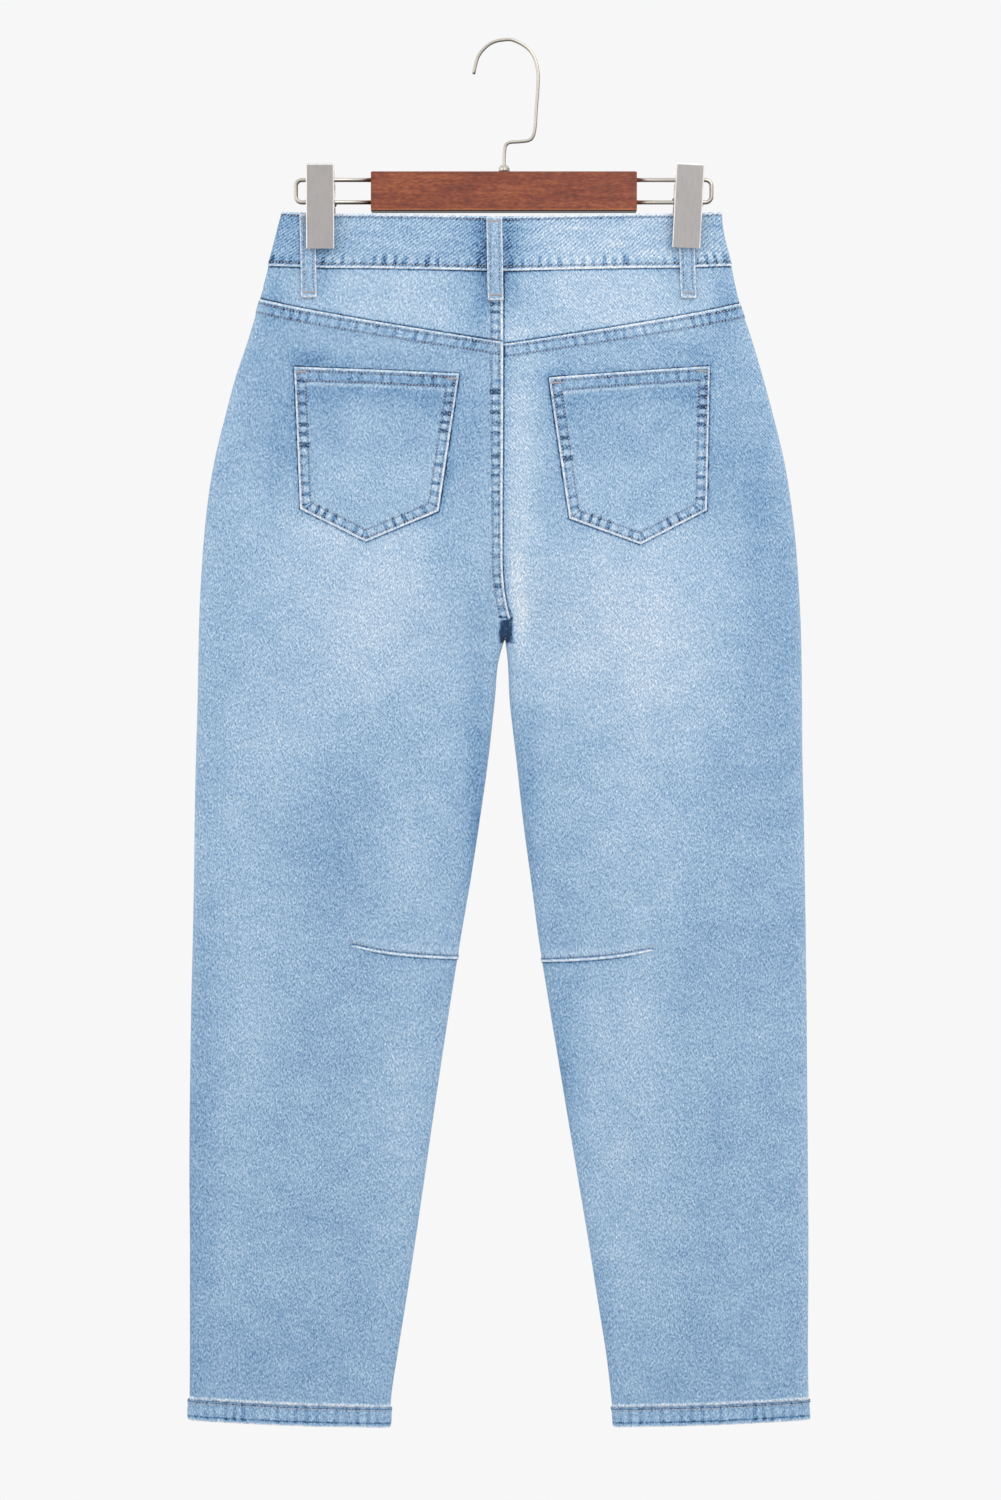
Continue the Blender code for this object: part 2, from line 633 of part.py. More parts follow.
def tube(name, path, radius, sides=10, slot="steel"):
    """A round wire along a list of (x, y, z) in mm, its ends closed."""
    path = [Vector(p) * MM for p in path]
    mesh = bmesh.new()
    rings = []
    across = Vector((0, 1, 0))
    for i, point in enumerate(path):
        ahead = path[min(i + 1, len(path) - 1)] - path[max(i - 1, 0)]
        ahead.normalize()
        up = ahead.cross(across).normalized()
        ring = []
        for k in range(sides):
            turn = 2 * math.pi * k / sides
            ring.append(mesh.verts.new(point + (across * math.cos(turn) + up * math.sin(turn)) * radius * MM))
        rings.append(ring)
    for first, second in zip(rings, rings[1:]):
        for k in range(sides):
            n = (k + 1) % sides
            mesh.faces.new((first[k], first[n], second[n], second[k]))
    mesh.faces.new(rings[0])
    mesh.faces.new(rings[-1][::-1])
    return node_from(mesh, name, slot)


def corner(centre, radius, start, stop, steps=5):
    """Points of an arc in the hanger's plane, degrees from +X towards +Z."""
    turns = [math.radians(start + (stop - start) * k / steps) for k in range(steps + 1)]
    return [(centre[0] + radius * math.cos(a), 0.0, centre[1] + radius * math.sin(a)) for a in turns]


def hook():
    path = [(x, 0.0, -drop) for x, drop in HOOK]
    rounded = [path[0]]
    for first, second, third in zip(path, path[1:], path[2:]):
        a, b, c = (np.array(p) for p in (first, second, third))
        rounded.append(tuple(0.125 * a + 0.75 * b + 0.125 * c) if second != path[-3] else second)
    rounded.append(path[-1])
    return tube("hanger_hook", rounded, HOOK_RADIUS, 12)


def hanger_wire(half):
    """One bent wire whose two ends sit in the bar's end."""
    side = -1 if half == "left" else 1
    inner = BAR_LENGTH / 2 - 14.0
    outer = 174.6 if half == "left" else 173.8
    bend = 5.0
    upper, lower = -WIRE_LEVELS[0], -WIRE_LEVELS[1]
    path = [(inner, 0.0, upper), (BAR_LENGTH / 2 + 6, 0.0, upper), (outer - bend - 1, 0.0, upper)]
    path += corner((outer - bend, upper - bend), bend, 90, 0)
    path += corner((outer - bend, lower + bend), bend, 0, -90)
    path += [(outer - bend - 1, 0.0, lower), (BAR_LENGTH / 2 + 6, 0.0, lower), (inner, 0.0, lower)]
    return tube("hanger_wire_" + half, [(side * x, y, z) for x, y, z in path], WIRE_RADIUS)


def cutter(name, radius, depth, centre, turn):
    """A round cutter, hidden from the render."""
    mesh = bmesh.new()
    bmesh.ops.create_cone(mesh, cap_ends=True, segments=16, radius1=radius * MM, radius2=radius * MM,
                          depth=depth * MM, matrix=Matrix.Translation(Vector(centre) * MM) @ turn)
    made = node_from(mesh, name, "wood")
    made.hide_render = True
    made.display_type = "WIRE"
    return made


def hanger_bar():
    mesh = bmesh.new()
    size = Vector((BAR_LENGTH, BAR_DEPTH, BAR_BOTTOM - BAR_TOP)) * MM
    middle = Vector((0, 0, -(BAR_TOP + BAR_BOTTOM) / 2)) * MM
    bmesh.ops.create_cube(mesh, size=1.0, matrix=Matrix.Translation(middle) @ Matrix.Diagonal(size.to_4d()))
    long_edges = [e for e in mesh.edges if abs((e.verts[0].co - e.verts[1].co).x) > 0.1]
    bmesh.ops.bevel(mesh, geom=long_edges, offset=3.2 * MM, segments=4, profile=0.5, affect="EDGES",
                    material=-1)
    bar = node_from(mesh, "hanger_bar", "wood", smooth=False)
    lying = Matrix.Rotation(math.pi / 2, 4, "Y")
    for end in (-1, 1):
        for level in WIRE_LEVELS:
            name = f"bore_{end}_{level:.0f}"
            at = (end * BAR_LENGTH / 2, 0, -level)
            hole = bar.modifiers.new(name, "BOOLEAN")
            hole.operation = "DIFFERENCE"
            hole.solver = "EXACT"
            hole.object = cutter(name, WIRE_RADIUS + SEAM_GAP, 32.0, at, lying)
    stem = bar.modifiers.new("stem_bore", "BOOLEAN")
    stem.operation = "DIFFERENCE"
    stem.solver = "EXACT"
    stem.object = cutter("stem_bore", HOOK_RADIUS + SEAM_GAP, 30.0, (0, 0, -BAR_TOP), Matrix.Identity(4))
    return bar


def ring_solid(name, inner, outer, profile, turn, centre, slot="steel", sides=20):
    """A ring turned about its axis; "profile" lists (radius, height) and closes on itself."""
    mesh = bmesh.new()
    rings = []
    for radius, height in profile:
        ring = []
        for k in range(sides):
            a = 2 * math.pi * k / sides
            point = Vector((radius * math.cos(a), radius * math.sin(a), height)) * MM
            ring.append(mesh.verts.new(turn @ point + Vector(centre) * MM))
        rings.append(ring)
    for first, second in zip(rings, rings[1:] + rings[:1]):
        for k in range(sides):
            n = (k + 1) % sides
            mesh.faces.new((first[k], first[n], second[n], second[k]))
    return node_from(mesh, name, slot)


def ferrule():
    inner, outer, height = HOOK_RADIUS + SEAM_GAP, 4.6, 4.4
    base = -(BAR_TOP - SEAM_GAP)
    profile = ((inner, 0.0), (outer, 0.0), (outer, height * 0.5), (outer * 0.72, height), (inner, height))
    return ring_solid("hook_ferrule", inner, outer, profile, Matrix.Identity(4), (0, 0, base))


def clip_spring(half):
    """The coil on the lower wire that both jaws bear on, as a plain sleeve."""
    x, _, _, _ = CLIPS[half]
    inner, outer, reach = WIRE_RADIUS + SEAM_GAP, 4.0, 13.2
    profile = ((inner, -reach), (outer - 0.6, -reach), (outer, -reach + 0.8), (outer, reach - 0.8),
               (outer - 0.6, reach), (inner, reach))
    lying = Matrix.Rotation(math.pi / 2, 4, "Y")
    return ring_solid("clip_spring_" + half, inner, outer, profile, lying, (x, 0, -WIRE_LEVELS[1]), sides=16)


def grip_depth(face, x, drop):
    """Depth of the outermost cloth or loop under a jaw."""
    half = "left" if x < 0 else "right"
    deepest = 0.0
    for reach in (-CLIP_WIDTH / 2 - 3, 0.0, CLIP_WIDTH / 2 + 3):
        point = skin_at(half, face, np.array([x + reach]), np.array([max(drop, 143.0)]))[0]
        deepest = max(deepest, abs(point[1]) / MM)
    proud = RIDGE + SEAM_GAP + 0.3
    if face == "back":
        proud += SEAM_GAP + 0.3 + LOOP_WALL + 0.8 + 0.5
    return deepest + proud


def clip_jaw(half, face):
    """A pressed steel jaw: a plate with turned-in flanges that rest on the spring."""
    x0, top, bottom, lean = CLIPS[half]
    way = -1.0 if face == "back" else 1.0
    grip = max(grip_depth(face, x0, d) for d in (146.0, 155.0, 165.0, 172.0))
    # Each row: drop, depth of the plate, depth that its flange reaches in to.
    open_depth = grip + 4.0
    rows = (
        (top, open_depth + 1.6, open_depth - 1.0),
        (top + 9, open_depth + 0.9, open_depth - 1.6),
        (125.0, open_depth - 0.4, open_depth - 3.0),
        (130.0, open_depth - 1.0, 4.5),
        (137.2, open_depth - 1.6, 4.5),
        (140.0, open_depth - 2.2, open_depth - 3.4),
        (150.0, grip + 1.4, grip + 0.6),
        (158.0, grip + 0.6, grip),
        (bottom, grip + 0.6, grip),
    )
    half_width = CLIP_WIDTH / 2
    columns = (-half_width, -half_width + 0.1, -half_width + 1.4, 0.0, half_width - 1.4,
               half_width - 0.1, half_width)
    points = np.zeros((len(rows), len(columns), 3))
    rough = np.zeros_like(points)
    lean_turn = Matrix.Rotation(lean, 3, "Y")
    pivot = Vector((x0, 0, -WIRE_LEVELS[1]))
    for i, (drop, plate, flange) in enumerate(rows):
        for j, offset in enumerate(columns):
            depth = plate
            if j in (0, len(columns) - 1):
                depth = min(flange, plate - 0.6)
            if j in (1, len(columns) - 2):
                depth = plate - 0.5
            point = Vector((x0 + offset, way * depth, -drop)) - pivot
            point = lean_turn @ point + pivot
            points[i, j] = np.array(point) * MM
            rough[i, j] = (0, way, 0)
    rough[:, 0] = (-1, way * 0.2, 0)
    rough[:, -1] = (1, way * 0.2, 0)
    return wall(f"clip_{face}_{half}", points, rough, 0.0, CLIP_WALL, slot="steel")


def waist_button():
    drop = 189.0
    point = skin_at("left", "front", np.array([-3.0]), np.array([drop]))[0]
    base = point[1] / MM + RIDGE + SEAM_GAP + 0.1
    turn = Matrix.Rotation(-math.pi / 2, 3, "X")
    mesh = bmesh.new()
    rings = []
    sides = 18
    profile = ((4.0, 0.0), (8.0, 1.0), (8.5, 1.8), (8.0, 2.6), (6.2, 2.4), (3.0, 2.9))
    for radius, height in profile:
        ring = []
        for k in range(sides):
            a = 2 * math.pi * k / sides
            spot = turn @ Vector((radius * math.cos(a), radius * math.sin(a), height))
            ring.append(mesh.verts.new((spot + Vector((-2.5, base, -drop))) * MM))
        rings.append(ring)
    for first, second in zip(rings, rings[1:]):
        for k in range(sides):
            n = (k + 1) % sides
            mesh.faces.new((first[k], first[n], second[n], second[k]))
    mesh.faces.new(rings[0][::-1])
    mesh.faces.new(rings[-1])
    return node_from(mesh, "waist_button", "steel")


def build():
    clear_scene()
    for half in ("left", "right"):
        back_leg(half)
        front_leg(half)
        yoke(half)
        pocket_facing(half)
        hem(half)
        back_pocket(half)
        hanger_wire(half)
        clip_spring(half)
        clip_jaw(half, "back")
        clip_jaw(half, "front")
    waistband()
    fly_shield()
    for name in LOOPS:
        belt_loop(name)
    waist_button()
    hanger_bar()
    ferrule()
    hook()


build()
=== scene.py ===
"""Barrel-leg jeans in light washed denim, hung by the waistband from a wooden clip hanger.

Lengths in the tables are millimetres; the scene is in metres with +Z up, the origin is the inside
of the hook's crown and the seat side faces -Y. "drop" is the distance below the origin and "span"
the share of the way round a panel from the side seam (0) to the centre seam or inseam (1).
"""

import math

import bmesh
import bpy
import numpy as np
from mathutils import Matrix, Vector


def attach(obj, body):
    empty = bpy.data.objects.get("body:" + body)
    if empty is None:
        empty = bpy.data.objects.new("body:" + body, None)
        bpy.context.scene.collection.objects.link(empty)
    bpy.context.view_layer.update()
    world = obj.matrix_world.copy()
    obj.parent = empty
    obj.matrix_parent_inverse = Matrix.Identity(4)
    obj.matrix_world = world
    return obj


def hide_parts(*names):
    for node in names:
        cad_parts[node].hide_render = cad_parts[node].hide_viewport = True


bl_info = {
    "name": "Barrel Jeans on a Clip Hanger",
    "version": (1, 0, 0),
    "blender": (4, 5, 0),
    "location": "View3D > Sidebar > Jeans",
    "description": "Builds washed barrel-leg jeans, their stitching and the clip hanger that holds them",
    "category": "Object",
}

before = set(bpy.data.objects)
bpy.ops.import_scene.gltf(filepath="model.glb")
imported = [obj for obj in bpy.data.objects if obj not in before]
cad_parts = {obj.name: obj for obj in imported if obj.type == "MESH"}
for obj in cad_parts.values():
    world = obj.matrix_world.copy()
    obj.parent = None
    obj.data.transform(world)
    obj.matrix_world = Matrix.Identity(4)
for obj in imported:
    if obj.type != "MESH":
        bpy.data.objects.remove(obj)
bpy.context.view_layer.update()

MM = 0.001
WALL = 1.2
BAND_WALL = 2.4
HEM_WALL = 2.0
SEAM_GAP = 0.3
RIDGE = 0.7
CROTCH_START = 384.0
CROTCH = 496.0
FELL_WIDTH = 9.0
YOKE_FELL = 12.5
LOOP_WIDTH = 13.0
LOOP_WALL = 1.5
POCKET_WALL = 1.1
POCKET_DEPTH = 118.0
FLY_WIDTH = 38.0
FLY_DROP = 350.0
LAP = 18.0
SAMPLES = 160
CENTRE_X = -2.5
CENTRE_CLOSING = 0.13
THREAD_LIFT = 0.12
DART_BOW = 3.0
CLOTH_SHARE = 0.88
HALVES = ("left", "right")
SIDE = {"left": -1.0, "right": 1.0}
WAY = {"back": -1.0, "front": 1.0}

# A distance that no seam reaches, a sewn row that isn't there, and spans close to the side fold.
FAR = 1000.0
NO_ROW = -50
SIDE_SPANS = (0.004, 0.008, 0.013, 0.02, 0.028, 0.038, 0.05)

# One row per level: drop, outer and inner edge of each leg, radius of the side fold, belly.
DROP, LEFT_OUT, LEFT_IN, RIGHT_IN, RIGHT_OUT, FOLD, BELLY = range(7)
SECTIONS = np.array([
    (142, -184.0, -2.5, -2.5, 179.6, 3.6, 11.5),
    (158, -188.0, -2.5, -2.5, 181.4, 3.7, 11.9),
    (185, -195.0, -2.5, -2.5, 188.0, 3.8, 12.5),
    (214, -202.4, -2.5, -2.5, 194.4, 4.4, 13.8),
    (247, -212.0, -2.5, -2.5, 205.2, 5.0, 15.4),
    (280, -223.0, -2.5, -2.5, 215.0, 5.6, 17.0),
    (314, -232.0, -2.5, -2.5, 224.0, 6.2, 18.0),
    (347, -240.0, -2.5, -2.5, 232.0, 6.6, 19.0),
    (380, -245.5, -2.5, -2.5, 237.5, 7.0, 19.5),
    (413, -249.0, -2.2, -2.2, 241.5, 7.4, 19.5),
    (446, -251.3, -1.4, -1.4, 244.0, 8.0, 19.0),
    (496, -253.3, 0.6, 0.6, 246.3, 9.0, 17.5),
    (512, -253.6, -4.0, 2.6, 246.6, 9.0, 17.2),
    (546, -254.2, -7.5, 4.4, 247.0, 8.8, 17.0),
    (596, -255.6, -13.0, 10.0, 247.4, 8.4, 17.0),
    (646, -256.6, -20.0, 15.5, 248.6, 8.0, 17.0),
    (695, -257.2, -27.5, 22.0, 249.4, 7.6, 17.0),
    (745, -258.2, -36.0, 28.6, 250.2, 7.4, 17.0),
    (795, -259.4, -44.0, 36.5, 250.8, 7.2, 16.5),
    (845, -260.2, -51.6, 44.8, 251.2, 7.0, 16.0),
    (895, -260.8, -59.0, 53.0, 251.6, 6.8, 15.0),
    (944, -261.0, -66.0, 61.2, 252.0, 6.6, 14.0),
    (994, -260.6, -73.3, 69.6, 252.4, 6.4, 12.5),
    (1044, -260.6, -81.0, 77.4, 252.2, 6.0, 11.0),
    (1094, -260.6, -89.0, 85.2, 252.0, 5.6, 9.0),
    (1120, -260.8, -93.0, 88.2, 252.4, 5.4, 8.0),
    (1150, -261.4, -95.2, 91.2, 253.4, 5.2, 7.5),
])
CROTCH_ROW = 11
CENTRE_SEAM = ((142, 300, 400, 434, 446, 458, 469, 479, 487, 496),
               (-0.8, -0.8, -1.4, -1.4, -0.8, 0.4, 2.4, 5.0, 4.4, 1.0))

# Seam and edge lines: drop at the side and at the centre or inseam, of each half.
LINES = {
    "waist_top_back": ((142.0, 147.6), (142.0, 147.6)),
    "waist_top_front": ((142.0, 168.0), (142.0, 168.0)),
    "waist_bottom_back": ((186.8, 192.9), (186.8, 192.9)),
    "waist_bottom_front": ((186.8, 212.0), (186.8, 212.0)),
    "yoke": ((213.5, 251.4), (217.2, 253.2)),
    "scoop": ((262.0, 212.0), (262.0, 212.0)),
    "hem_top": ((1126.3, 1133.5), (1126.8, 1133.3)),
    "hem_bottom": ((1142.9, 1149.4), (1142.6, 1149.0)),
}
LINE_BEND = 0.88

# Drops at the side and at the centre of the leg rows between the seat and the knee.
SEAT_ROWS = ((250, 290), (287, 325), (325, 362), (362, 400), (398, 436))
CROTCH_ROWS = ((418, 451), (436, 466), (452, 478), (466, 487), (479, 492.4), (489, 495.1), (498, 496))
CROTCH_ROWS_FRONT = ((428, 436), (446, 453), (460, 470), (474, 483), (484, 491.6), (492, 495.1), (498, 496))
THIGH_ROWS = (507, 526, 555, 595, 640, 685, 725)
CALF_ROWS = (790, 835, 885, 940, 995, 1050, 1100)

# Knee darts: drop at the tip and at the inseam, and the share where each starts.
DARTS = ((745.0, 761.0, 0.54), (748.6, 763.4, 0.52))

# Broad soft folds: half, face, x and drop of both ends, width and height (below zero is a trough).
FOLDS = (
    ("left", "back", -120, 560, -100, 900, 26, 1.6),
    ("left", "back", -200, 640, -190, 1020, 22, -1.4),
    ("right", "back", 104, 620, 112, 1080, 24, 2.0),
    ("right", "back", 190, 600, 200, 1000, 26, -1.6),
    ("right", "back", 55, 520, 80, 700, 22, 1.4),
    ("left", "front", -90, 540, -120, 980, 28, 1.8),
    ("left", "front", -190, 560, -200, 900, 24, -1.5),
    ("right", "front", 90, 560, 110, 1000, 28, 1.8),
    ("right", "front", 185, 600, 190, 940, 24, -1.5),
)

# Pinch of the waistband under each clip: x, top and bottom drop of the jaw, and its lean.
CLIPS = {"left": (-152.0, 104.2, 173.6, 0.0), "right": (152.4, 104.2, 173.0, 0.049)}

# Back pockets: x and drop of top left, top right, bottom right, tip and bottom left.
POCKETS = {
    "left": ((-173.4, 271.4), (-37.0, 278.2), (-54.0, 391.6), (-114.0, 416.6), (-168.2, 389.2)),
    "right": ((36.6, 281.4), (170.0, 270.8), (167.2, 390.2), (112.4, 418.8), (53.6, 397.6)),
}

# Belt loops: half, face, x at the top and at the bottom, drop at the top and at the bottom, and bow.
LOOPS = {
    "loop_centre_back": ("right", "back", -8.2, -7.0, 148.0, 217.5, 1.8),
    "loop_back_left": ("left", "back", -163.0, -161.4, 144.6, 213.8, 0.5),
    "loop_back_right": ("right", "back", 150.4, 152.6, 145.4, 214.4, 0.5),
    "loop_front_left": ("left", "front", -98.0, -98.0, 158.0, 224.0, 1.8),
    "loop_front_right": ("right", "front", 94.0, 94.0, 158.0, 224.0, 1.8),
}

# Pale wash fading and painted light on each face: x and drop of the middle, reach in x and in drop, and how much paler.
WASH_AND_PAINTED_LIGHT = {
    "back": (
        (-98, 452, 66, 92, 0.22), (112, 478, 74, 106, 0.22), (38, 520, 34, 62, 0.08),
        (-205, 540, 44, 190, 0.07), (222, 520, 26, 150, -0.07), (-150, 560, 60, 60, 0.05),
        (118, 645, 46, 110, 0.08), (-66, 675, 22, 70, 0.06), (-142, 680, 26, 70, -0.06),
        (-84, 900, 22, 150, 0.08), (-215, 810, 26, 200, 0.06), (84, 880, 22, 170, 0.09),
        (118, 960, 26, 190, 0.05), (-180, 1100, 120, 60, -0.05), (170, 1100, 120, 60, -0.05),
        # The pale strips at x 10 to 15 below are a painted highlight on the ridge beside the centre seam; the dark
        # patches at drops 188 to 216 beside the belt loops, and those at drops 154 and 158 under the bar, are painted
        # shade.
        (14, 370, 15, 120, 0.20), (10, 452, 6, 26, 0.16), (15, 484, 6, 22, 0.16),
        (-16, 188, 9, 38, -0.30), (-30, 195, 20, 50, -0.10), (3, 188, 9, 36, -0.30),
        (24, 200, 18, 50, -0.06), (-151, 195, 10, 34, -0.16), (-172, 190, 8, 30, -0.10),
        (142, 195, 9, 30, -0.08), (162, 195, 9, 30, -0.08), (-182, 300, 30, 50, -0.06),
        (-20, 154, 26, 12, -0.14), (112, 239, 24, 9, 0.12), (-53, 395, 15, 50, -0.09),
        (-150, 405, 32, 22, 0.08), (120, 405, 26, 22, 0.07), (-86, 655, 16, 50, 0.07),
        (-20, 665, 8, 40, -0.08), (48, 858, 10, 60, -0.14), (112, 800, 14, 50, 0.08),
        (80, 1055, 11, 60, -0.11), (-250, 930, 14, 150, -0.08), (-158, 264, 16, 7, -0.20),
        (-100, 266, 60, 5, -0.08), (46, 276, 14, 7, -0.12), (164, 262, 16, 6, -0.10),
        (-30, 330, 12, 60, -0.07), (-190, 212, 14, 22, -0.14), (184, 212, 14, 22, -0.16),
        (12, 216, 12, 16, -0.14), (-18, 216, 10, 18, -0.10), (146, 238, 20, 12, 0.12),
        (-53, 355, 14, 24, -0.14), (180, 355, 12, 40, -0.11), (-186, 355, 12, 30, -0.09),
        (-22, 610, 10, 90, -0.16), (20, 620, 9, 90, -0.12), (30, 268, 22, 14, 0.07),
        (-20, 239, 14, 14, -0.08), (208, 375, 14, 55, -0.08), (-53, 604, 16, 30, 0.06),
        (179, 604, 16, 30, -0.06), (-53, 754, 16, 30, 0.06), (-120, 1102, 16, 20, 0.06),
        (100, 158, 90, 26, -0.04),
    ),
    "front": (
        (-110, 470, 60, 110, 0.24), (108, 480, 62, 120, 0.23), (-120, 640, 46, 110, 0.12),
        (116, 650, 46, 110, 0.12), (-120, 860, 40, 140, 0.07), (116, 850, 40, 140, 0.07),
    ),
}


# ---------------------------------------------------------------- small helpers


def ease(t):
    t = np.clip(t, 0.0, 1.0)
    return t * t * (3 - 2 * t)


def fall(value, start, length):
    """1 up to the start, easing to 0 over the length."""
    return 1 - ease((value - start) / length)


def hump(value, middle, reach):
    """A bell of height 1 round the middle."""
    return np.exp(-((value - middle) / reach) ** 2)


def linear(code, share=1.0):
    """An sRGB hex value as the linear RGBA that a shader socket holds."""
    parts = [int(code[i:i + 2], 16) / 255 for i in (0, 2, 4)]
    parts = [p / 12.92 if p <= 0.04045 else ((p + 0.055) / 1.055) ** 2.4 for p in parts]
    return (*(p * share for p in parts), 1.0)


def add(tree, kind, inputs=None, **settings):
    """A shader node with its settings; an input is a value or another node's output."""
    made = tree.nodes.new(kind)
    for name, value in settings.items():
        setattr(made, name, value)
    for key, value in (inputs or {}).items():
        if isinstance(value, bpy.types.NodeSocket):
            tree.links.new(value, made.inputs[key])
        else:
            made.inputs[key].default_value = value
    return made


def calc(tree, operation, *values):
    """The output of a Math node."""
    return add(tree, "ShaderNodeMath", dict(enumerate(values)), operation=operation).outputs[0]


def ramp_between(tree, value, start, end, low=0.0, high=1.0):
    """A smooth step of a value from low at start to high at end."""
    sockets = {"Value": value, "From Min": start, "From Max": end, "To Min": low, "To Max": high}
    return add(tree, "ShaderNodeMapRange", sockets, interpolation_type="SMOOTHSTEP").outputs[0]


def new_material(name):
    made = bpy.data.materials.new(name)
    made.use_nodes = True
    tree = made.node_tree
    return made, tree, tree.nodes["Principled BSDF"]


def object_place(tree):
    return add(tree, "ShaderNodeTexCoord").outputs["Object"]


def speckle(tree, vector, size, stretch=(1, 1, 1), turn=0.0, detail=2.0):
    """Noise whose grains are about "size" mm across."""
    mapped = add(tree, "ShaderNodeMapping", {"Vector": vector, "Rotation": (0, 0, turn),
                                             "Scale": stretch}).outputs[0]
    noise = add(tree, "ShaderNodeTexNoise", {"Vector": mapped, "Scale": 0.5 / (size * MM),
                                             "Detail": detail, "Roughness": 0.6})
    return noise.outputs["Fac"]


def bars(tree, vector, period, distortion, detail_scale):
    """Wavy bars across X, "period" mm apart."""
    return add(tree, "ShaderNodeTexWave", {"Vector": vector, "Scale": 0.31416 / (period * MM),
                                           "Distortion": distortion, "Detail": 2.0, "Detail Scale": detail_scale},
               wave_type="BANDS", bands_direction="X").outputs["Fac"]


def mixed(tree, tone, *sources):
    """The tone with each noise added about its middle, by its amount."""
    for source, amount in sources:
        tone = calc(tree, "MULTIPLY_ADD", calc(tree, "SUBTRACT", source, 0.5), amount, tone)
    return tone


def colour_ramp(tree, tone, stops):
    """Colour of a tone, from (position, linear colour) stops."""
    ramp = add(tree, "ShaderNodeValToRGB", {"Fac": tone})
    held = ramp.color_ramp.elements
    while len(held) < len(stops):
        held.new(0.5)
    for stop, (at, colour) in zip(held, stops):
        stop.position = at
        stop.color = colour
    return ramp.outputs["Color"]


def scaled(tree, colour, share):
    return add(tree, "ShaderNodeVectorMath", {0: colour, "Scale": share}, operation="SCALE").outputs[0]


def dress(tree, shader, colour, roughness, height=None, strength=0.0, depth=0.0):
    """Gives the shader its colour, its roughness and a bump "depth" mm deep."""
    tree.links.new(colour, shader.inputs["Base Color"])
    shader.inputs["Roughness"].default_value = roughness
    if height is not None:
        bump = add(tree, "ShaderNodeBump", {"Height": height, "Strength": strength, "Distance": depth * MM})
        tree.links.new(bump.outputs["Normal"], shader.inputs["Normal"])


# ---------------------------------------------------------------- materials


DENIM_RAMP = ((0.0, "263F5E"), (0.22, "648CB6"), (0.45, "8FB1D0"), (0.62, "ABC6DF"),
              (0.8, "C8DAEB"), (1.0, "F2F6FA"))
WOOD_RAMP = ((0.0, "26100A"), (0.15, "5C2414"), (0.5, "873D22"), (0.95, "BA6B3C"))


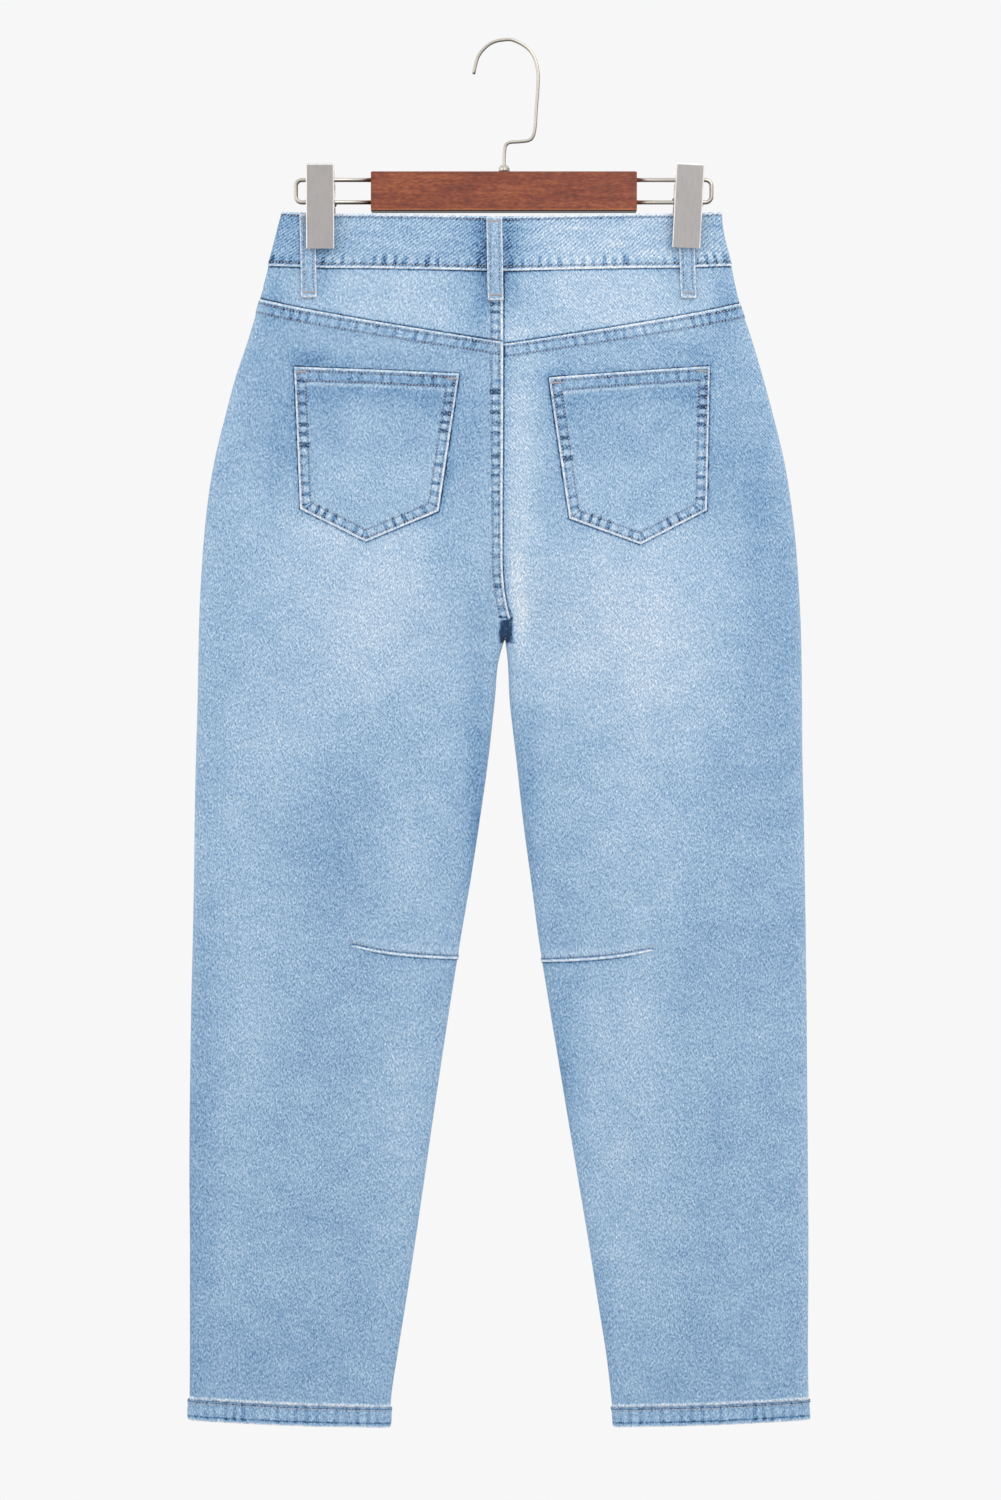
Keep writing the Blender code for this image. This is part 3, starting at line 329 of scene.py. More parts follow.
def denim_material(name, lean=1.0, streak=0.0, ribs=0.16, pitch=1.6):
    """Stone-washed cotton denim: indigo warp worn pale over a white weft, so its face is a fine
    salt-and-pepper twill. Real twill lines are 0.8 mm apart, too fine to show; they are drawn at
    1.6 mm, and at 2.5 mm on the heavier waistband, as wide as the photo shows them. Turned edges
    are worn white, and each pair of sewn rows draws the cloth up into dark and pale bars."""
    made, tree, shader = new_material(name)
    uv = add(tree, "ShaderNodeUVMap", uv_map="cut").outputs[0]

    def attribute(key, output="Vector"):
        return add(tree, "ShaderNodeAttribute", attribute_name=key).outputs[output]

    def parts(vector):
        return list(add(tree, "ShaderNodeSeparateXYZ", {0: vector}).outputs)

    def bell(value, middle, reach):
        """1 at the middle, 0 at a distance of reach."""
        away = calc(tree, "ABSOLUTE", calc(tree, "SUBTRACT", value, middle))
        return ramp_between(tree, away, 0.0, reach, 1.0, 0.0)

    def added(tone, *ramp):
        return calc(tree, "ADD", tone, ramp_between(tree, *ramp))

    edge, run, pull = parts(attribute("edge"))
    first, second, reach = parts(attribute("rows"))
    # Distance to a piece that stands proud, read for painted contact shadow.
    gap = attribute("gap", "Fac")
    turn = lean * 0.9
    fine = speckle(tree, uv, 0.62, (1.0, 0.6, 1.0), turn, 1.0)
    yarn = speckle(tree, uv, 1.5, (1.0, 0.7, 1.0), turn, 2.0)
    cloud = speckle(tree, uv, 11.0, detail=3.0)
    broad = speckle(tree, uv, 50.0, detail=3.0)
    leaning = add(tree, "ShaderNodeMapping", {"Vector": uv, "Rotation": (0, 0, turn)}).outputs[0]
    twill = bars(tree, leaning, pitch, 2.4, 2.0)
    # This value carries the wash's fading together with painted light and shade.
    tone = calc(tree, "ADD", attribute("wash_and_shading", "Fac"), 0.49)
    tone = mixed(tree, tone, (fine, 0.82), (yarn, 0.46), (cloud, 0.26), (broad, 0.20), (twill, ribs))
    if streak:
        tone = mixed(tree, tone, (speckle(tree, uv, 5.0, (0.16, 1.0, 1.0), 0.0, 2.0), streak))

    # The rope of bars between the sewn rows, stronger here and weaker there along the seam.
    spot = add(tree, "ShaderNodeCombineXYZ", {"X": calc(tree, "MULTIPLY", run, 0.001),
                                              "Y": calc(tree, "MULTIPLY", edge, 0.0002)}).outputs[0]
    strength = ramp_between(tree, speckle(tree, spot, 13.0, detail=2.0), 0.34, 0.64, 0.2, 1.2)
    reach = calc(tree, "MULTIPLY_ADD", calc(tree, "ADD", yarn, strength), 4.0, reach)
    band = ramp_between(tree, calc(tree, "SUBTRACT", edge, reach), -7.4, -3.4, 1.0, 0.0)
    band = calc(tree, "MULTIPLY", calc(tree, "MULTIPLY", band, ramp_between(tree, edge, 1.6, 2.6)),
                calc(tree, "MULTIPLY", strength, pull))
    rope = calc(tree, "MULTIPLY", ramp_between(tree, bars(tree, spot, 8.4, 5.0, 0.8), 0.05, 0.75, -0.36, 0.13), band)
    tone = calc(tree, "ADD", tone, rope)

    # Painted shade in the grooves under the sewn rows, then the worn white edge, then painted contact shadow beside a
    # piece that stands proud, where the unworn indigo also stays dark.
    groove_shade = calc(tree, "MAXIMUM", bell(edge, first, 1.5), bell(edge, second, 1.5))
    tone = calc(tree, "MULTIPLY_ADD", groove_shade, -0.34, tone)
    wear = ramp_between(tree, speckle(tree, uv, 3.0, detail=2.0), 0.3, 0.6, 0.22, 0.46)
    tone = calc(tree, "MULTIPLY_ADD", ramp_between(tree, edge, 1.0, 2.2, 1.0, 0.0), wear, tone)
    tone = added(added(tone, gap, 0.6, 2.0, -0.42, 0.0), gap, 1.0, 7.0, -0.07, 0.0)

    colour = colour_ramp(tree, tone, [(at, linear(code, CLOTH_SHARE)) for at, code in DENIM_RAMP])
    salt = calc(tree, "MULTIPLY_ADD", calc(tree, "SUBTRACT", fine, 0.5), 0.75, 1.0)
    height = calc(tree, "ADD", calc(tree, "MULTIPLY", fine, 0.5), twill)
    height = calc(tree, "ADD", height, calc(tree, "MULTIPLY", rope, 3.0))
    dress(tree, shader, scaled(tree, colour, salt), 0.88, height, 0.35, 0.15)
    shader.inputs["Specular IOR Level"].default_value = 0.2
    shader.inputs["Sheen Weight"].default_value = 0.06
    return made


def thread_material(name, code):
    """Spun polyester sewing thread, twisted, with a slight sheen."""
    made, tree, shader = new_material(name)
    place = object_place(tree)
    grain, patch = (calc(tree, "MULTIPLY", speckle(tree, place, size), 0.5) for size in (0.4, 9.0))
    colours = add(tree, "ShaderNodeMix", {"Factor": calc(tree, "ADD", grain, patch), "A": linear(code, 0.55),
                                          "B": linear(code, 0.95)}, data_type="RGBA")
    dress(tree, shader, colours.outputs["Result"], 0.6)
    return made


def wood_material():
    """Hardwood stained red-brown, with short dark pores along the grain, under satin lacquer. A painted
    highlight runs along the bar's lower edge, above a painted dark line of shade on its underside."""
    made, tree, shader = new_material("stained_wood")
    place = object_place(tree)
    pores = speckle(tree, place, 0.7, (0.3, 1, 1), detail=2.0)
    streak = speckle(tree, place, 1.3, (0.06, 1, 1), detail=4.0)
    figure = speckle(tree, place, 9.0, (0.3, 1, 1), detail=3.0)
    mix = mixed(tree, 0.5, (pores, 0.9), (streak, 0.7), (figure, 0.6))
    level = calc(tree, "MULTIPLY", add(tree, "ShaderNodeSeparateXYZ", {0: place}).outputs[2], -1000.0)
    # Painted light near the bar's bottom: a pale highlight line, then a dark line of shade.
    for start, end, amount in ((2.4, 1.0, 0.45), (0.9, 0.4, -1.6)):
        line = ramp_between(tree, level, BAR_LEVELS[1] - start, BAR_LEVELS[1] - end, 0.0, amount)
        mix = calc(tree, "ADD", mix, line)
    colour = colour_ramp(tree, mix, [(at, linear(code, 0.85)) for at, code in WOOD_RAMP])
    dress(tree, shader, colour, 0.42, mix, 0.2, 0.1)
    return made


def metal_material(name, code, roughness, stretch, worn=0.0, under=1.0):
    """Satin nickel plate on steel, brushed before plating. The dark room below, which round wire reflects, is painted
    into the base colour on faces turned down, and the worn value paints bright highlights along the rims.
    """
    made, tree, shader = new_material(name)
    place = object_place(tree)
    brush = speckle(tree, place, 0.5, stretch, detail=3.0)
    haze = speckle(tree, place, 12.0, detail=2.0)
    mix = calc(tree, "ADD", calc(tree, "MULTIPLY", brush, 0.6), calc(tree, "MULTIPLY", haze, 0.4))
    # Painted highlight: the rims are brightened by the worn value.
    rim = add(tree, "ShaderNodeAttribute", attribute_name="rim").outputs["Fac"]
    mix = calc(tree, "MULTIPLY", calc(tree, "ADD", mix, calc(tree, "MULTIPLY", rim, worn)), 0.5)
    colour = colour_ramp(tree, mix, [(at, linear(code, share)) for at, share in ((0.0, 0.8), (0.5, 1.1), (1.0, 2.2))])
    # Painted reflection and shade: the base colour falls to the share under on faces turned away from up and left.
    facing = add(tree, "ShaderNodeVectorMath", {0: add(tree, "ShaderNodeNewGeometry").outputs["Normal"],
                                                1: (-0.45, 0.0, 0.9)}, operation="DOT_PRODUCT").outputs["Value"]
    lit = ramp_between(tree, facing, -0.75, 0.1, under, 1.0)
    dress(tree, shader, scaled(tree, colour, lit), roughness)
    brushed = ramp_between(tree, brush, 0.3, 0.7, roughness - 0.06, roughness + 0.06)
    tree.links.new(brushed, shader.inputs["Roughness"])
    shader.inputs["Metallic"].default_value = 1.0
    return made


MATERIALS = {}


def materials():
    """The scene's materials, made once."""
    if not MATERIALS:
        MATERIALS["denim"] = denim_material("washed_denim")
        MATERIALS["band"] = denim_material("washed_denim_band", lean=-1.0, streak=0.44, ribs=0.28, pitch=2.5)
        MATERIALS["thread"] = thread_material("taupe_thread", "D6CAC6")
        MATERIALS["tack"] = thread_material("cream_thread", "C9C2C0")
        MATERIALS["wood"] = wood_material()
        # The clip's rims get a painted highlight; wire and spring get a painted reflection of the dark room below.
        MATERIALS["clip"] = metal_material("satin_clip", "B4B0AE", 0.38, (1, 1, 0.08), 1.3)
        MATERIALS["wire"] = metal_material("nickel_wire", "D2CCC0", 0.3, (1, 1, 1), under=0.16)
        MATERIALS["dark"] = metal_material("spring_steel", "8C8A92", 0.35, (1, 1, 1), under=0.3)
    return MATERIALS


# ---------------------------------------------------------------- the garment's skin


def smooth_row(column, drop, first=0):
    """A column of SECTIONS, from its row "first" on, read at each drop along a cubic."""
    rows = SECTIONS[first:, DROP]
    values = SECTIONS[first:, column]
    drop = np.clip(drop, rows[0], rows[-1])
    slopes = np.gradient(values, rows)
    at = np.clip(np.searchsorted(rows, drop) - 1, 0, len(rows) - 2)
    step = rows[at + 1] - rows[at]
    t = (drop - rows[at]) / step
    start = (2 * t**3 - 3 * t**2 + 1) * values[at] + (t**3 - 2 * t**2 + t) * step * slopes[at]
    end = (3 * t**2 - 2 * t**3) * values[at + 1] + (t**3 - t**2) * step * slopes[at + 1]
    return start + end


def folds_at(half, face, x, drop):
    """Height of the broad folds at these points."""
    height = np.zeros_like(x)
    for side, way, x0, d0, x1, d1, width, rise in FOLDS:
        if (side, way) == (half, face):
            along = np.clip((drop - d0) / (d1 - d0), 0, 1)
            height += rise * np.sin(math.pi * along) ** 0.8 * hump(x, x0 + (x1 - x0) * along, width)
    return height


def pinch_at(x, drop):
    """Share of the belly that the clips leave."""
    left = 1.0
    for centre, _, bottom, _ in CLIPS.values():
        left = left - 0.9 * hump(x, centre, 24.0) * fall(drop, bottom, 60.0)
    return np.clip(left, 0.0, 1.0)


def profiles(half, face, drop):
    """x, depth and arc length of dense section curves, a row for each drop."""
    outer = smooth_row(LEFT_OUT if half == "left" else RIGHT_OUT, drop)
    inseam = smooth_row(LEFT_IN if half == "left" else RIGHT_IN, drop, CROTCH_ROW)
    centre = np.interp(drop, CENTRE_SEAM[0], CENTRE_SEAM[1])
    inner = np.where(drop <= CROTCH, centre, inseam)
    fold = smooth_row(FOLD, drop)[:, None]
    belly = smooth_row(BELLY, drop)[:, None] * (1.05 if face == "back" else 0.95)
    q = np.clip((drop - CROTCH_START) / (CROTCH - CROTCH_START), 0, 1)[:, None]
    end = q * q * (2 - q)
    along = (1 - np.cos(math.pi * np.linspace(0, 1, SAMPLES)))[None, :] / 2
    xi = -1 + (1 + end) * along
    x = outer[:, None] + (inner - outer)[:, None] * along
    power = 2 * np.abs(inner - outer)[:, None] / (1 + end) / fold
    flat = np.clip(1 - np.abs(xi) ** power, 0, 1)
    swell = belly * np.clip(1 - xi * xi, 0, 1)
    swell = swell * pinch_at(x, drop[:, None])
    swell = swell + folds_at(half, face, x, drop[:, None] + 0 * x) * np.clip(1 - xi * xi, 0, 1) ** 0.5
    depth = np.sqrt(fold * fold * flat + swell * swell)
    step = np.hypot(np.diff(x, axis=1), np.diff(depth, axis=1))
    arc = np.concatenate([np.zeros((len(drop), 1)), np.cumsum(step, axis=1)], axis=1)
    return x, depth, arc


def place(half, face, x, depth, drop):
    """Points in metres, with half a seam gap left at the sides and the centre."""
    return np.stack([x + SIDE[half] * SEAM_GAP / 2, WAY[face] * (depth + SEAM_GAP / 2), -drop], axis=-1) * MM


def skin(half, face, drop, span):
    """Outer points of the cloth at these drops and spans."""
    x, depth, arc = profiles(half, face, drop)
    want = span * arc[:, -1]
    rows = range(len(drop))
    xs = np.array([np.interp(want[i], arc[i], x[i]) for i in rows])
    ys = np.array([np.interp(want[i], arc[i], depth[i]) for i in rows])
    return place(half, face, xs, ys, drop)


def skin_at(half, face, x, drop):
    """Outer points of the cloth straight behind these x and drops."""
    xs, depth, _ = profiles(half, face, drop)
    sign = -SIDE[half]
    ys = np.array([np.interp(sign * x[i], sign * xs[i], depth[i]) for i in range(len(drop))])
    points = place(half, face, x, ys, drop)
    points[:, 0] = x * MM
    return points


def half_of(x):
    return "left" if x < CENTRE_X else "right"


def skin_across(face, x, drop):
    """skin_at for one drop and x positions that may lie on both halves."""
    return [skin_at(half_of(a), face, np.array([a]), np.array([drop]))[0] for a in x]


def width_at(half, face, drop):
    """Length of the section curve from the side seam to the centre or inseam."""
    return profiles(half, face, np.array([float(drop)]))[2][0, -1]


def line_drop(name, half, span):
    side, centre = LINES[name][HALVES.index(half)]
    if name == "scoop":
        waist = line_drop("waist_bottom_front", half, span)
        return waist + (side - waist) * ease((0.5 - span) / 0.5)
    return side + (centre - side) * span**LINE_BEND


def dart_drop(half, span, offset=0.0):
    tip, inseam, start = DARTS[HALVES.index(half)]
    along = np.clip((span - start) / (1 - start), 0, 1) ** 0.8
    return tip + (inseam - tip) * along + offset + DART_BOW * np.sin(math.pi * along)


def row_drop(half, row, span):
    kind, value = row
    if kind == "pair":
        return value[0] + (value[1] - value[0]) * span**LINE_BEND
    if kind == "level":
        return value + 0.0 * span
    if kind == "dart":
        return dart_drop(half, span, value)
    return line_drop(kind, half, span) + value


def spans_of(length, side_steps, middle, end_steps):
    """Shares of the columns: steps (mm) from the side, even ones, and steps (mm) from the end."""
    low = [s / length for s in side_steps]
    high = [1 - s / length for s in end_steps]
    return np.array(low + list(np.linspace(low[-1], high[0], middle + 2)[1:-1]) + high)


def between_rows(rows, half, span, step):
    """Drops of dense rows, about "step" mm apart, that pass through all the given rows."""
    keys = np.array([row_drop(half, row, span) for row in rows])
    dense = [keys[0]]
    for upper, lower in zip(keys, keys[1:]):
        count = max(1, int(math.ceil(np.max(lower - upper) / step)))
        dense += [upper + (lower - upper) * k / count for k in range(1, count + 1)]
    return np.array(dense)


def panel(half, face, rows, step, side_steps, middle, end_steps):
    """A dense grid on the skin: its points, drops, and distances in mm from the side and the end."""
    guess = spans_of(250.0, side_steps, middle, end_steps)
    drops = between_rows(rows, half, guess, step)
    points, from_side, from_end = [], [], []
    for row in drops:
        length = width_at(half, face, row[int(len(row) * 0.8)])
        span = spans_of(length, side_steps, middle, end_steps)
        points.append(skin(half, face, row, span))
        from_side.append(span * length)
        from_end.append((1 - span) * length)
    points, from_end = np.array(points), np.array(from_end)
    points[..., 0] -= SIDE[half] * CENTRE_CLOSING * hump(from_end, 0, 1.5) * (drops < CROTCH - 1) * MM
    return points, drops, np.array(from_side), from_end


def cut_plan(half, from_side, drops):
    """The flat cut's own coordinates, in metres, so that the twill leans one way on both halves."""
    return np.stack([-SIDE[half] * from_side, -drops], axis=-1) * MM


def on_skin(half, face, drop, span, lift):
    """Points lifted off the skin and their outward normals, for spans."""
    drop, span = np.broadcast_arrays(np.asarray(drop, float), np.asarray(span, float))
    nudge = np.where(span > 0.5, -0.01, 0.01)
    here = skin(half, face, drop, span)
    across = (skin(half, face, drop, span + nudge) - here) * np.sign(nudge)[:, None]
    down = skin(half, face, drop + 1.0, span) - here
    return lifted(here, across, down, face, lift)


def on_skin_x(half, face, x, drop, lift):
    """The same for x positions."""
    x, drop = np.broadcast_arrays(np.asarray(x, float), np.asarray(drop, float))
    here = skin_at(half, face, x, drop)
    return lifted(here, skin_at(half, face, x + 1.0, drop) - here, skin_at(half, face, x, drop + 1.0) - here,
                  face, lift)


def lifted(here, across, down, face, lift):
    normal = np.cross(across, down)
    normal /= np.linalg.norm(normal, axis=1, keepdims=True) + 1e-12
    normal *= np.where(normal[:, 1:2] * WAY[face] < 0, -1.0, 1.0)
    return here + normal * (np.asarray(lift, float) * MM).reshape(-1, 1), normal


# ---------------------------------------------------------------- cloth pieces


def grid_normals(points, outward, ring=False):
    across = np.roll(points, -1, axis=1) - np.roll(points, 1, axis=1) if ring else np.gradient(points, axis=1)
    normal = np.cross(across, np.gradient(points, axis=0))
    normal /= np.linalg.norm(normal, axis=2, keepdims=True) + 1e-12
    flip = np.sign(np.sum(normal * outward, axis=2, keepdims=True))
    flip[flip == 0] = 1
    return normal * flip


def facing(points, face):
    """A rough outward direction for each point: straight back or straight forward."""
    rough = np.zeros_like(points)
    rough[..., 1] = WAY[face]
    return rough


def outward_of(points, half, face):
    rough = facing(points, face)
    rough[:, 0] = (SIDE[half] * 5, 0, 0)
    rough[:, -1, 0] = -SIDE[half] * 0.01
    return rough


def pucker(along, seed, height=0.35, period=10.0):
    """Uneven small waves along a seam, in mm."""
    random = np.random.default_rng(seed)
    total = np.zeros_like(along)
    for share in (0.78, 1.0, 1.37, 1.9):
        total += np.sin(2 * math.pi * along / (period * share) + random.uniform(0, 6.3))
    return total * height / 2.4


def guard(from_side, from_end):
    """Share of the pucker that is left near the panel's ends, where it meets the next piece."""
    return ease(from_side / 4) * ease(from_end / 3)


def seat_rows(drop):
    """Distances of the centre seam's two sewn rows from its edge, closer together lower down."""
    narrow = ease((drop - 260) / 200)
    return 3.3 - 1.0 * narrow, 9.4 - 1.8 * narrow


def wash_and_painted_light_at(face, x, drop):
    tone = np.zeros_like(x)
    for middle, level, across, down, amount in WASH_AND_PAINTED_LIGHT[face]:
        tone += amount * hump(x, middle, across) * hump(drop, level, down)
    return tone


def data_from(mesh, name):
    """Mesh data from a bmesh, which is freed."""
    data = bpy.data.meshes.new(name)
    mesh.to_mesh(data)
    mesh.free()
    return data


def linked(name, data):
    made = bpy.data.objects.new(name, data)
    bpy.context.scene.collection.objects.link(made)
    return made


def stand_in(made, slot, *nodes):
    """Puts a piece in place of the CAD nodes that it stands for, if any, on the root body."""
    if nodes:
        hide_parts(*nodes)
    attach(made, "root")
    return made


def grid_object(name, points, normals, thick, material, uv, values, ring=False):
    """A sheet of cloth: a created grid whose points are moved to their places, merged where it is
    a ring, turned to face outwards, then given its thickness."""
    if ring:
        points = np.concatenate([points, points[:, :1]], axis=1)
        normals = np.concatenate([normals, normals[:, :1]], axis=1)
        values = {k: np.concatenate([v, v[:, :1]], axis=1) for k, v in values.items()}
    rows, columns = points.shape[:2]
    mesh = bmesh.new()
    mesh.loops.layers.uv.new("cut")
    bmesh.ops.create_grid(mesh, x_segments=columns - 1, y_segments=rows - 1, size=0.5, calc_uvs=True)
    data = data_from(mesh, name)
    flat = np.zeros(len(data.vertices) * 3)
    data.vertices.foreach_get("co", flat)
    flat = flat.reshape(-1, 3)
    column = np.rint((flat[:, 0] + 0.5) * (columns - 1)).astype(int)
    row = np.rint((0.5 - flat[:, 1]) * (rows - 1)).astype(int)
    data.vertices.foreach_set("co", points[row, column].ravel())
    loops = np.zeros(len(data.loops), dtype=np.int32)
    data.loops.foreach_get("vertex_index", loops)
    data.uv_layers["cut"].data.foreach_set("uv", uv[row[loops], column[loops]].ravel())
    for key, grid in values.items():
        kind = "FLOAT" if grid.ndim == 2 else "FLOAT_VECTOR"
        store = data.attributes.new(key, kind, "POINT")
        store.data.foreach_set("value" if kind == "FLOAT" else "vector", grid[row, column].ravel())
    mesh = bmesh.new()
    mesh.from_mesh(data)
    if ring:
        bmesh.ops.remove_doubles(mesh, verts=mesh.verts, dist=0.00001)
    bmesh.ops.recalc_face_normals(mesh, faces=mesh.faces)
    mesh.faces.ensure_lookup_table()
    probe = mesh.faces[len(mesh.faces) // 2]
    spot = np.array(probe.calc_center_median())
    near = np.unravel_index(np.argmin(np.sum((points - spot) ** 2, axis=2)), points.shape[:2])
    if probe.normal.dot(Vector(normals[near])) < 0:
        bmesh.ops.reverse_faces(mesh, faces=mesh.faces)
    for face in mesh.faces:
        face.smooth = True
    mesh.to_mesh(data)
    mesh.free()
    data.materials.append(material)
    made = linked(name, data)
    wall = made.modifiers.new("thickness", "SOLIDIFY")
    wall.thickness = thick * MM
    wall.offset = -1.0
    return made


def lengths(points, axis):
    step = np.linalg.norm(np.diff(points, axis=axis), axis=2)
    return np.concatenate([np.zeros_like(np.take(step, [0], axis=axis)), np.cumsum(step, axis=axis)], axis=axis)


def cloth(name, points, outward, raised, thick, wash_and_shading, folds, runs=(), shaded_gaps=(), material="denim", ring=False,
          uv_from=None, pulls=(1.0,) * 3, seams=((3.3, 9.6, 9.6),) * 3):
    normals = grid_normals(points, outward, ring)
    sides = normals.copy()
    if not ring:
        sides[:, -1, 0] = 0.0
        sides[:, -1] /= np.linalg.norm(sides[:, -1], axis=1, keepdims=True) + 1e-12
    points = points + sides * (np.zeros(points.shape[:2]) + raised)[..., None] * MM
    loop = np.concatenate([points, points[:, :1]], axis=1) if ring else points
    uv = np.stack([lengths(loop, 1), -lengths(loop, 0)], axis=-1) if uv_from is None else uv_from
    far = np.full(points.shape[:2], FAR)
    edges = np.stack([f + 0 * far for f in folds] + [far, far])
    order = np.argsort(edges, axis=0)[:2]
    nearest, next_one = np.take_along_axis(edges, order, axis=0)

    def chosen(values):
        values = np.stack([v + 0 * far for v in values] + [0 * far] * 2)
        return np.take_along_axis(values, order[:1], axis=0)[0]

    pull = chosen(pulls[:len(folds)]) * ease((next_one - nearest) / 3)
    rows = [chosen([pair[k] for pair in seams[:len(folds)]]) for k in range(3)]
    # Painted contact shadow: distance to the nearest piece that stands proud.
    gap = np.min(np.stack([g + 0 * far for g in shaded_gaps] + [far]), axis=0)
    values = {"wash_and_shading": wash_and_shading + 0 * far, "edge": np.stack([nearest, chosen(runs[:len(folds)]), pull], axis=-1),
              "rows": np.stack(rows, axis=-1), "gap": gap}
    made = grid_object(name + "_cloth", points, normals, thick, materials()[material], uv, values, ring)
    wide = np.linalg.norm(np.diff(loop, axis=1), axis=2).sum(axis=1)
    long = np.linalg.norm(np.diff(loop, axis=0), axis=2).sum(axis=0)
    corners = loop[1:, 1:] - loop[:-1, :-1], loop[1:, :-1] - loop[:-1, 1:]
    area = float(np.sum(np.linalg.norm(np.cross(*corners), axis=2)) / 2)
    width, length = float(wide.max()), float(long.max())
    area = min(max(area, 0.31 * width * length), width * length)
    stand_in(made, "denim", name)
    return made


def fine_steps(fell=None):
    """Columns close together near a seam, and at the edge of its fell where it has one, in mm."""
    edge = [fell - 0.6, fell + 0.2, fell + 1.0] if fell else [8.5, 10.5]
    return [0.0, 0.8, 1.6, 2.6, 4.0, 6.0] + edge + [13.0]


def levels(kind, values):
    return [(kind, value) for value in values]


def back_leg(half, step):
    felled = half == "left"
    other = 0 if felled else 1
    rows = levels("yoke", (SEAM_GAP / 2, 1.0, 2.0, YOKE_FELL - 0.8, YOKE_FELL, YOKE_FELL + 1.2))
    rows += levels("pair", SEAT_ROWS + CROTCH_ROWS) + levels("level", THIGH_ROWS)
    rows += levels("dart", (-10.0, -5.0, -2.5, -1.2, 0.0, 0.8, 1.8, 4.0, 9.0))
    rows += levels("level", CALF_ROWS) + levels("hem_top", (-9.0, -SEAM_GAP / 2))
    end_steps = fine_steps(FELL_WIDTH if felled else None)[::-1]
    points, drops, from_side, from_end = panel(half, "back", rows, step, fine_steps(), int(216 / step), end_steps)
    x = points[..., 0] / MM
    span = from_side / (from_side + from_end)
    top = drops - line_drop("yoke", half, span)
    hem = line_drop("hem_top", half, span) - drops
    torso = fall(drops[:, -1:], 470, 26.0)
    start = DARTS[other][2]
    dart = drops - dart_drop(half, span)
    grown = ease((span - start) / 0.14)

    # Turned edges and the dart's rounded fold stand proud.
    raised = RIDGE * fall(top, YOKE_FELL - 1.0, 1.2)
    if felled:
        raised = np.maximum(raised, RIDGE * fall(from_end, FELL_WIDTH + 1.2, 1.4) * fall(drops, 470, 14))
    else:
        raised = raised + 0.25 * ease(from_end / 3.0) * fall(from_end, 9, 5) * torso
    raised = raised + 1.2 * grown * np.where(dart < 0, ease((dart + 5) / 5), fall(dart, 0, 0.9))
    raised = raised - 0.5 * grown * ease(dart / 1.5) * fall(dart, 3, 9)
    height = pucker(from_side, 3 + other) * hump(top, 6, 9)
    height = height + pucker(drops, 5 + other, 0.5) * hump(from_end, 5, 8) * torso
    height = height + pucker(drops, 7 + other, 0.3, 13) * hump(from_end, 0, 12) * (1 - torso)
    height = height + pucker(drops, 9 + other, 0.3, 12) * hump(from_side, 4, 9)
    height = height + pucker(from_side, 11) * hump(dart, -3, 6) * grown
    height = height + pucker(from_side, 13 + other, 0.45, 9) * hump(hem, 2, 6)
    raised = (raised + height * guard(from_side, from_end)) * ease(from_side / 1.5)

    # Wash and painted shade: pale along the dart and the side seam, and painted near-black shade on the inside of the
    # crotch seen between the legs.
    wash_and_shading = wash_and_painted_light_at("back", x, drops) + 0.10 * grown * hump(dart, -6.5, 2.6)
    wash_and_shading = wash_and_shading + (0.10 - (0.16 * ease((drops - 700) / 300) if felled else 0.0)) * hump(from_side, 0, 9)
    inner = ease((drops - 477.8 - 0.3 * np.abs(x - 6)) / 2.0) * fall(np.abs(x - 1.6), 4.4, 2) * (drops < 500)
    wash_and_shading = wash_and_shading - 0.68 * inner

    # The dart's fold edge is worn white. Painted shade lies below the dart's fold, round the pocket's outline and, on
    # the right half, beside the centre seam under the felled edge.
    dart_edge = np.where(dart <= 0.2, np.abs(dart - 0.2), FAR) + 30 * fall(span, start - 0.03, 0.12) ** 2
    dart_shade = np.where(dart > 0.2, dart - 0.2, FAR) + 30 * (1 - grown)
    inside = pocket_edges(half, x, drops, range(5))[0]
    folds, runs = [np.where(top < 60, top, FAR), dart_edge, hem * 0.5], [from_side] * 3
    shaded_gaps = [dart_shade, np.where(inside < 3, np.abs(inside), FAR)]
    stop = ease((drops - 480) / 2)
    if felled:
        folds.append(from_end + 200 * stop)
        runs.append(drops)
    else:
        shaded_gaps.append((from_end + 60 * stop) / (1 + ease((drops - 462) / 16)))
    first, second = seat_rows(drops)
    return cloth("back_leg_" + half, points, outward_of(points, half, "back"), raised, WALL, wash_and_shading, folds, runs, shaded_gaps,
                 uv_from=cut_plan(half, from_side, drops), pulls=(0.55, 0.0, 0.0, 1.0),
                 seams=((3.3, 10.6, 10.6), (2.8, NO_ROW, 4), (NO_ROW, NO_ROW, 4), (first, second, second)))


